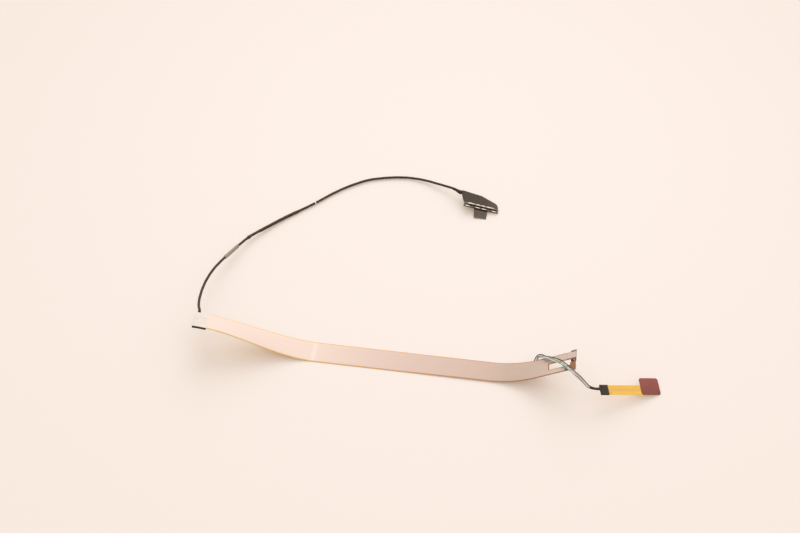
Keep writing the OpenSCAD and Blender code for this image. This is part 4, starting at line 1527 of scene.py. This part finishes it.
        def lift(v: Vector) -> Vector:
            """Raises the tape over the wires, but for its edges.

            Args:
                v: A point of the flat tape.

            Returns:
                Its place in the plug's frame.
            """
            away = v - hub
            ridge = abs(math.sin(math.atan2(away.y, away.x) * self.fan_wires))
            inner = min((b - a).normalized().cross(v - a).z for a, b in sides)
            dent = max(0, noise.noise(Vector((v.x, v.y, 0)) / (2.5 * MM)))
            crown = ease(inner / (0.8 * MM))
            rise = crown * (self.fan_ridge * ridge + self.cover_dent * dent)
            return v + mm(0, 0, self.height + self.tape_t / 2 + rise)

        settle(cover, lift)
        thicken(cover, self.tape_t)
        return complete(cover, PLUG_TAPE_PAINTED_LIGHT, "black_tape", "plug_tape_top", place=self.frame)

    def tab_place(self, v: Vector) -> Vector:
        """Bends the flat pull tab: it eases down towards the surface and twists.

        Args:
            v: A point of the flat tab.

        Returns:
            Its place in the plug's frame.
        """
        out = -v.y / (self.tab_reach * MM)
        right = (-self.length / 2 + self.tab_w / 2) * MM
        x = right - (right - v.x) * (1 - self.tab_taper * out / self.tab_w)
        tip = math.tan(self.tilt) * blend(right, x, self.tab_rest)
        return Vector((x, v.y, blend(self.tab_gap * MM, tip, ease(out)) + v.z))

    def build_tab(self, name: str, reach: float, low: float, finish: Finish, slot: str, node: str) -> Piece:
        """Makes the pull tab, or the folded hem at its root.

        Args:
            name: The piece's name.
            reach: How far it comes out from the plug.
            low: Its lower face's height in the tab.
            finish: What it is made of.
            slot: The record's material slot.
            node: The CAD node that it stands for.

        Returns:
            The piece.
        """
        left = -(self.length + self.tab_w) / 2
        sheet = flat_strip(name, (left, left + self.tab_w), (-reach, 0), 0.3)
        lay_flat_map(sheet)
        settle(sheet, lambda v: self.tab_place(v + mm(0, 0, low + self.tab_t / 2)))
        thicken(sheet, self.tab_t)
        return complete(sheet, finish, slot, node, place=self.frame)

    def build(self) -> list[Piece]:
        """Makes every piece of the plug, and returns them."""
        return [
            self.build_housing(), self.build_shade_liner(), self.build_rail(), self.build_clips(),
            self.build_cover(),
            self.build_tab("pull_tab_film", self.tab_reach, 0, PULL_FILM, "pull_film", "pull_tab"),
            # The fold at the tab's root is black: painted shade of the gap under the plug
            self.build_tab("pull_tab_fold", self.hem_d, self.tab_t, HEM_PAINTED_SHADE, "hem_film", "pull_tab_hem"),
        ]


# ---- the sensor branch ----


@dataclass
class SensorBranch:
    """Four thin wires from under the ribbon to the small sensor tail. In millimetres."""

    form: RibbonForm
    wire_x: float = 96.5
    wire_d: float = 0.55
    spread: float = 0.8
    row: tuple[float, ...] = (-1.5, 1.5, -0.5, 0.5)
    anchor_h: float = 0.75
    lead: float = 0.8
    level_x: float = 116.0
    twist: float = 16.0
    slack: float = 8.0
    slack_from: float = 26.0
    trio_start: float = 28.0
    black_turn: float = 140.0
    black_out: float = 0.94
    trio_out: float = 0.72
    trio_r: float = 0.63
    gather: float = 5.0
    looseness: float = 1.5
    loosen: tuple[float, float] = (22.0, 18.0)
    snugness: float = 0.96
    sleeve_l: float = 7.0
    sleeve_w: float = 2.2
    sleeve_mouth: float = 1.3
    fold: float = 0.05
    wire_ring: float = 0.4
    sleeve_ring: float = 0.2
    pad: tuple[float, float, float] = (11.2, 9.2, 0.3)
    pad_r: float = 1.2
    flex: tuple[float, float, float] = (19.4, 5.2, 0.15)
    splice_l: float = 4.6
    splice_t: float = 1.0
    splice_y: float = 3.2
    margin: float = 0.1
    grip: float = 1.6
    eye: tuple[float, float] = (0.22, 0.04)
    eye_at: tuple[float, float] = (1.1, 1.0)
    place: tuple[float, float] = (162.1, -2.0)
    turns: tuple[float, float, float] = (13.3, 17.2, 19.4)

    def __post_init__(self) -> None:
        """Places the tail and lays the wires' route to it."""
        roll, pitch, yaw = map(math.radians, self.turns)
        dip = math.sqrt(math.sin(pitch) ** 2 + (math.sin(roll) * math.cos(pitch)) ** 2)
        sit = self.pad_r * (dip - math.sin(pitch) - math.sin(roll) * math.cos(pitch))
        self.frame = (Matrix.Translation(mm(*self.place, sit)) @ Matrix.Rotation(yaw, 4, "Z")
                      @ Matrix.Rotation(pitch, 4, "Y") @ Matrix.Rotation(roll, 4, "X"))
        self.flex_x = -self.pad[0] - self.flex[0]
        self.splice_x = self.flex_x - self.splice_l
        start = self.form.point(self.wire_x, self.form.width / 2, -self.anchor_h / 2)
        lead = start + self.form.way_out(self.wire_x, self.wire_x - 0.5, self.wire_x + 0.5) * self.lead * MM
        y, z = self.splice_y, -self.flex[2] / 2
        entry = [self.frame @ mm(self.splice_x - back, y, z) for back in (2, 0)]
        self.route = Route((start, lead, *[mm(*p) for p in (
            (97, 7.9, 6.4), (97.5, 8.2, 7.6), (98.6, 8, 8.7), (99.9, 7.2, 9.5), (101.2, 5.4, 11.2),
            (103.1, 4.1, 12.7), (105.1, 2.8, 14.1), (106.9, 1.5, 15.3), (108.4, 0.1, 16.4),
            (109.7, -1.6, 17.5), (110.9, -3.5, 18.7), (112.1, -5.2, 19.8), (113.6, -7.3, 20.8),
            (115.1, -8.9, 20.9), (117.1, -9.8, 19.8), (118.7, -10.4, 18.7), (120.3, -11, 17.3),
            (121.9, -11.6, 15.8), (123.3, -11.9, 14.4), (125.5, -11.7, 13))], *entry),
            self.form.frame(self.level_x)[2])
        self.end = self.route.length - self.sleeve_l

    def shift(self, i: int, s: float) -> tuple[float, float]:
        """Gives a wire's place beside and above the bundle's line.

        Args:
            i: The wire: black, green, white or grey.
            s: The length along the bundle.

        Returns:
            How far it is to the side and how far up.
        """
        d, black = self.wire_d, math.radians(self.black_turn)
        if i == 0:
            x, y = self.black_out * d * math.cos(black), self.black_out * d * math.sin(black)
        else:
            wound = self.twist * s - self.slack * max(0.0, s - self.slack_from)
            turn = math.radians(self.trio_start - 120 * (i - 1) - wound)
            out, r = -self.trio_out * d, self.trio_r * d
            x, y = (out * f(black) + r * f(turn) for f in (math.cos, math.sin))
        start, end = self.loosen
        full = blend(self.snugness, self.looseness, ease(s / start) * ease((self.end - s) / end))
        t = ease(s / self.gather)
        return blend(self.row[i] * self.spread, x * full, t), blend(0.0, y * full, t)

    def build_wires(self) -> list[tuple[Piece, list[Vector]]]:
        """Makes the four wires.

        Returns:
            Each wire with the points of its line.
        """
        made, r = [], self.wire_d / 2
        stations = spaced(0, self.end, self.wire_ring)
        for i, (colour, finish) in enumerate(WIRES.items()):
            line = []
            for s in stations:
                centre, side, up = self.route.ring(s)
                a, b = self.shift(i, s)
                line.append((centre + (side * a + up * b) * MM, side, up))
            name = f"wire_{colour}"
            wire = tube(f"{name}_lead", line, lambda s, share: (r, r), stations, around=12)
            made.append((complete(wire, finish, name, name, angle=60), [ring[0] for ring in line]))
        return made

    def declare(self, wires: list[tuple[Piece, list[Vector]]], ends: Sequence[Piece | str]) -> None:
        """Declares each wire as a cord.

        Args:
            wires: Each wire with its line.
            ends: The sensor tail's pieces, on the first wire's end.
        """
        for k, (wire, line) in enumerate(wires):
            length = sum((b - a).length for a, b in zip(line, line[1:]))
            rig.cord(wire, exit=line[0], length=length, diameter=self.wire_d * MM,
                    far_end="connector" if k == 0 else "object", stiffness="medium", lay="loose",
                    path=line, with_pieces=ends if k == 0 else ())

    def build_sleeve(self) -> Piece:
        """Makes the tapered sleeve of wound tape that gathers the wires into the splice.

        Returns:
            The sleeve.
        """
        stations = spaced(self.end, self.route.length, self.sleeve_ring)

        def shape(s: float, share: float) -> tuple[float, float]:
            """Gives the sleeve's half-width and half-height, with small folds.

            Args:
                s: The length along the bundle.
                share: The share of the way round.

            Returns:
                Both halves.
            """
            t, mouth = ease((s - self.end) / self.sleeve_l), self.sleeve_mouth * self.wire_d
            fold = self.fold * noise.noise(Vector((s / 1.5, 3 * math.cos(2 * math.pi * share), 1)))
            high = (self.splice_t + self.flex[2]) / 2
            return blend(mouth, self.sleeve_w / 2, t) + fold, blend(mouth, high, t) + fold / 2

        sleeve = tube("splice_sleeve_tape", self.route.rings(stations), shape, stations, around=20)
        return complete(sleeve, DARK_TAPE, "black_tape", "splice_sleeve")

    def build_splice(self) -> Piece:
        """Makes the block of tape folded round the splice, with soft uneven faces.

        Returns:
            The block.
        """
        wide, t = self.flex[1], self.flex[2]
        low = mm(self.splice_x, -self.margin, -(t + self.splice_t) / 2)
        size = mm(self.splice_l, wide + 2 * self.margin, self.splice_t)
        block = slab("splice_tape_fold", low, low + size)
        cut(block, 0, *[self.splice_x + k * self.splice_l / 9 for k in range(1, 9)])
        cut(block, 1, *[k * wide / 10 for k in range(1, 10)])
        lay_flat_map(block)
        settle(block, lambda v: v + mm(0, 0, math.copysign(self.fold, v.z + t / 2 * MM) * (
            noise.noise(v / (1.3 * MM)) - 0.5)))
        soften(block, width=0.12, segments=3)
        return complete(block, DARK_TAPE, "black_tape", "splice_tape", place=self.frame)

    def build_flex(self) -> Piece:
        """Makes the amber flex of the sensor tail.

        Returns:
            The flex.
        """
        _, wide, thick = self.flex
        flex = flat_strip("sensor_tail_flex", (self.flex_x - self.grip, -self.pad_r), (0, wide), 0.5)
        lay_flat_map(flex)
        settle(flex, Matrix.Translation(mm(0, 0, -thick / 2)))
        thicken(flex, thick)
        return complete(flex, SENSOR_AMBER, "sensor_amber", "sensor_flex", place=self.frame)

    def build_via(self) -> Piece:
        """Makes the small plated eye near the splice.

        Returns:
            The eye.
        """
        (radius, thick), (x, y) = self.eye, self.eye_at
        clear_selection()
        bpy.ops.mesh.primitive_cylinder_add(vertices=20, radius=radius * MM, depth=thick * MM,
                                            location=mm(self.flex_x + x, y, thick / 2))
        eye = bpy.context.object
        eye.name = eye.data.name = "flex_via"
        bpy.ops.object.transform_apply(location=True, rotation=True, scale=True)
        with editing(eye) as mesh:
            pick(mesh, lambda c, n: n.z > 0.5)
            bpy.ops.mesh.inset(thickness=0.1 * MM, depth=-thick / 2 * MM)
        return complete(eye, PIN_BRONZE_AND_PAINTED_SHADE, "sensor_amber", place=self.frame)

    def build_pad(self) -> Piece:
        """Makes the stiffened pad with round corners.

        Returns:
            The pad.
        """
        long, wide, thick = self.pad
        pad = slab("sensor_pad_plate", mm(-long, 0, 0), mm(0, wide, thick))
        with editing(pad) as mesh:
            for edge in mesh.edges:
                a, b = (v.co for v in edge.verts)
                edge.select_set(abs(a.z - b.z) > thick / 2 * MM)
            bpy.ops.mesh.bevel(offset=self.pad_r * MM, segments=10, affect="EDGES")
        soften(pad, width=0.05)
        return complete(pad, PAD_RED, "pad_red", "sensor_pad", place=self.frame)

    def build(self) -> list[Piece]:
        """Makes the sensor tail, and returns its pieces."""
        return [self.build_sleeve(), self.build_splice(), self.build_flex(), self.build_via(),
                self.build_pad()]


# ---- CAD nodes that stay ----


@dataclass(frozen=True)
class KeptNodes:
    """The finishes of the CAD nodes whose shape stays."""

    joint: Finish = Moulded("joint_cover_tape", "#40352e", roughness=0.7, grain=0.3, depth=0.03)
    under: Finish = Moulded("plug_under_tape", "#453c35", roughness=0.7, grain=0.3, depth=0.03)
    anchor: Finish = Moulded("anchor_tape", "#3a332d", roughness=0.7, grain=0.3, depth=0.03)

    def dress(self, frame: dict) -> None:
        """Gives each node its finish.

        Args:
            frame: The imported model.
        """
        for name, finish in {
                "joint_solder": SOLDER, "joint_cover": self.joint, "panel_plate": PLATE,
                "panel_contacts": GOLD, "panel_nails": TIN, "zif_fingers": GOLD,
                # The plug's contacts are dark as painted shade of the channel
                "plug_contacts": PIN_BRONZE_AND_PAINTED_SHADE, "plug_clamp_bar": TIN, "plug_wire_fan": COAX_FAN,
                "plug_tape_under": self.under, "wire_anchor": self.anchor,
                "sensor_socket": BLACK_LCP_AND_CHANNEL_SHADE, "sensor_contacts": GOLD}.items():
            node = frame["nodes"][name]
            node.data.materials.clear()
            node.data.materials.append(finish.material())
            log.info("dressed %s in %s", name, finish.name)


# ---- camera, light and surroundings ----


@dataclass(frozen=True)
class Softbox:
    """A distant lamp: the way to it, how broad it looks in degrees, and its share of the light."""

    name: str
    toward: tuple[float, float, float]
    breadth: float
    share: float

    def build(self) -> None:
        """Makes the lamp, as strong as its share of the light on a level surface asks."""
        clear_selection()
        way = Vector(self.toward).normalized()
        bpy.ops.object.light_add(type="SUN", location=way,
                                 rotation=way.to_track_quat("Z", "Y").to_euler())
        lamp = bpy.context.object
        lamp.name = self.name
        lamp.data.energy, lamp.data.angle = self.share * math.pi / way.z, math.radians(self.breadth)


@dataclass(frozen=True)
class Studio:
    """A camera above the near side, a pale surface and broad soft light. In metres and degrees."""

    target: tuple[float, float, float] = (0.0166, 0.0652, 0.0)
    azimuth: float = 7.9
    elevation: float = 50.0
    distance: float = 0.63
    lens: float = 50.0
    sensor: float = 36.0
    floor_r: float = 4.0
    floor_drop: float = 0.00005
    fill: float = 0.4
    room: str = "#f6e4d9"
    lamps: tuple[Softbox, ...] = (
        Softbox("overhead_softbox", (0.12, 0.45, 1.0), 130.0, 0.4),
        Softbox("rear_softbox", (0.0, 1.15, 1.0), 45.0, 0.2))

    def build_camera(self) -> None:
        """Makes the camera."""
        a, e = math.radians(self.azimuth), math.radians(self.elevation)
        back = Vector((math.sin(a) * math.cos(e), -math.cos(a) * math.cos(e), math.sin(e)))
        clear_selection()
        bpy.ops.object.camera_add(location=Vector(self.target) + back * self.distance,
                                  rotation=back.to_track_quat("Z", "Y").to_euler())
        camera = bpy.context.object
        camera.name = "studio_camera"
        camera.data.lens, camera.data.sensor_width = self.lens, self.sensor
        camera.data.clip_start, camera.data.clip_end = 0.01, 50.0
        bpy.context.scene.camera = camera

    def build_surroundings(self) -> None:
        """Makes the surface, and the world of one pale colour with a white fill."""
        clear_selection()
        bpy.ops.mesh.primitive_circle_add(vertices=96, radius=self.floor_r, fill_type="NGON",
                                          location=(0, 0, -self.floor_drop))
        floor = bpy.context.object
        floor.name = "paper_floor"
        bpy.ops.object.transform_apply(location=True, rotation=False, scale=False)
        floor.data.materials.append(PAPER.material())
        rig.stage(floor)
        world = bpy.data.worlds.new("pale_room")
        bpy.context.scene.world = world
        world.use_nodes = True
        tree = world.node_tree
        tree.nodes.clear()
        path = add_node(tree, "LightPath")
        seen = add_node(tree, "Math", {"operation": "MAXIMUM"}, {
            0: path.outputs["Is Camera Ray"], 1: path.outputs["Is Transmission Ray"]})
        seen = add_node(tree, "Math", {"operation": "MAXIMUM"}, {
            0: seen, 1: path.outputs["Is Glossy Ray"]})
        light = add_node(tree, "Background", None, {"Color": linear("#ffffff"), "Strength": self.fill})
        pale = add_node(tree, "Background", None, {"Color": linear(self.room), "Strength": 1.0})
        both = add_node(tree, "MixShader", None, {0: seen, 1: light, 2: pale})
        add_node(tree, "OutputWorld", None, {0: both})

    def build(self) -> None:
        """Makes the surroundings and the light, and sets plain colour."""
        self.build_surroundings()
        for lamp in self.lamps:
            lamp.build()
        bpy.context.scene.view_settings.view_transform = "Standard"


def main() -> None:
    """Builds every sub-assembly in order and reports it."""
    logging.basicConfig(level=logging.INFO, format="%(name)s: %(message)s")
    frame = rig.load()
    cad_box = [list(corner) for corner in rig.bounds()]
    studio = Studio()
    studio.build_camera()
    form, plug = RibbonForm(), MainPlug()
    harness, branch = Harness(form, plug), SensorBranch(form)
    cord, wires = harness.build_cord(), branch.build_wires()
    log.info("cords: harness %.1f mm, wires %.1f mm", harness.length, branch.end)
    plug_pieces, layers, tail = plug.build(), harness.build(), branch.build()
    harness.declare(cord, [*layers, *plug_pieces, "plug_contacts", "plug_clamp_bar", "plug_wire_fan",
                           "plug_tape_under"])
    branch.declare(wires, [*tail, "sensor_socket", "sensor_contacts"])
    Ribbon(form).build()
    PanelConnector(form).build()
    KeptNodes().dress(frame)
    studio.build()
    clear_selection()
    dressed_box = [list(corner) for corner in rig.bounds()]
    with open("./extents.json", "w", encoding="utf-8") as out:
        json.dump({"cad": cad_box, "visual": dressed_box}, out)
    log.info("size: %s", dressed_box)


if __name__ == "__main__":
    main()
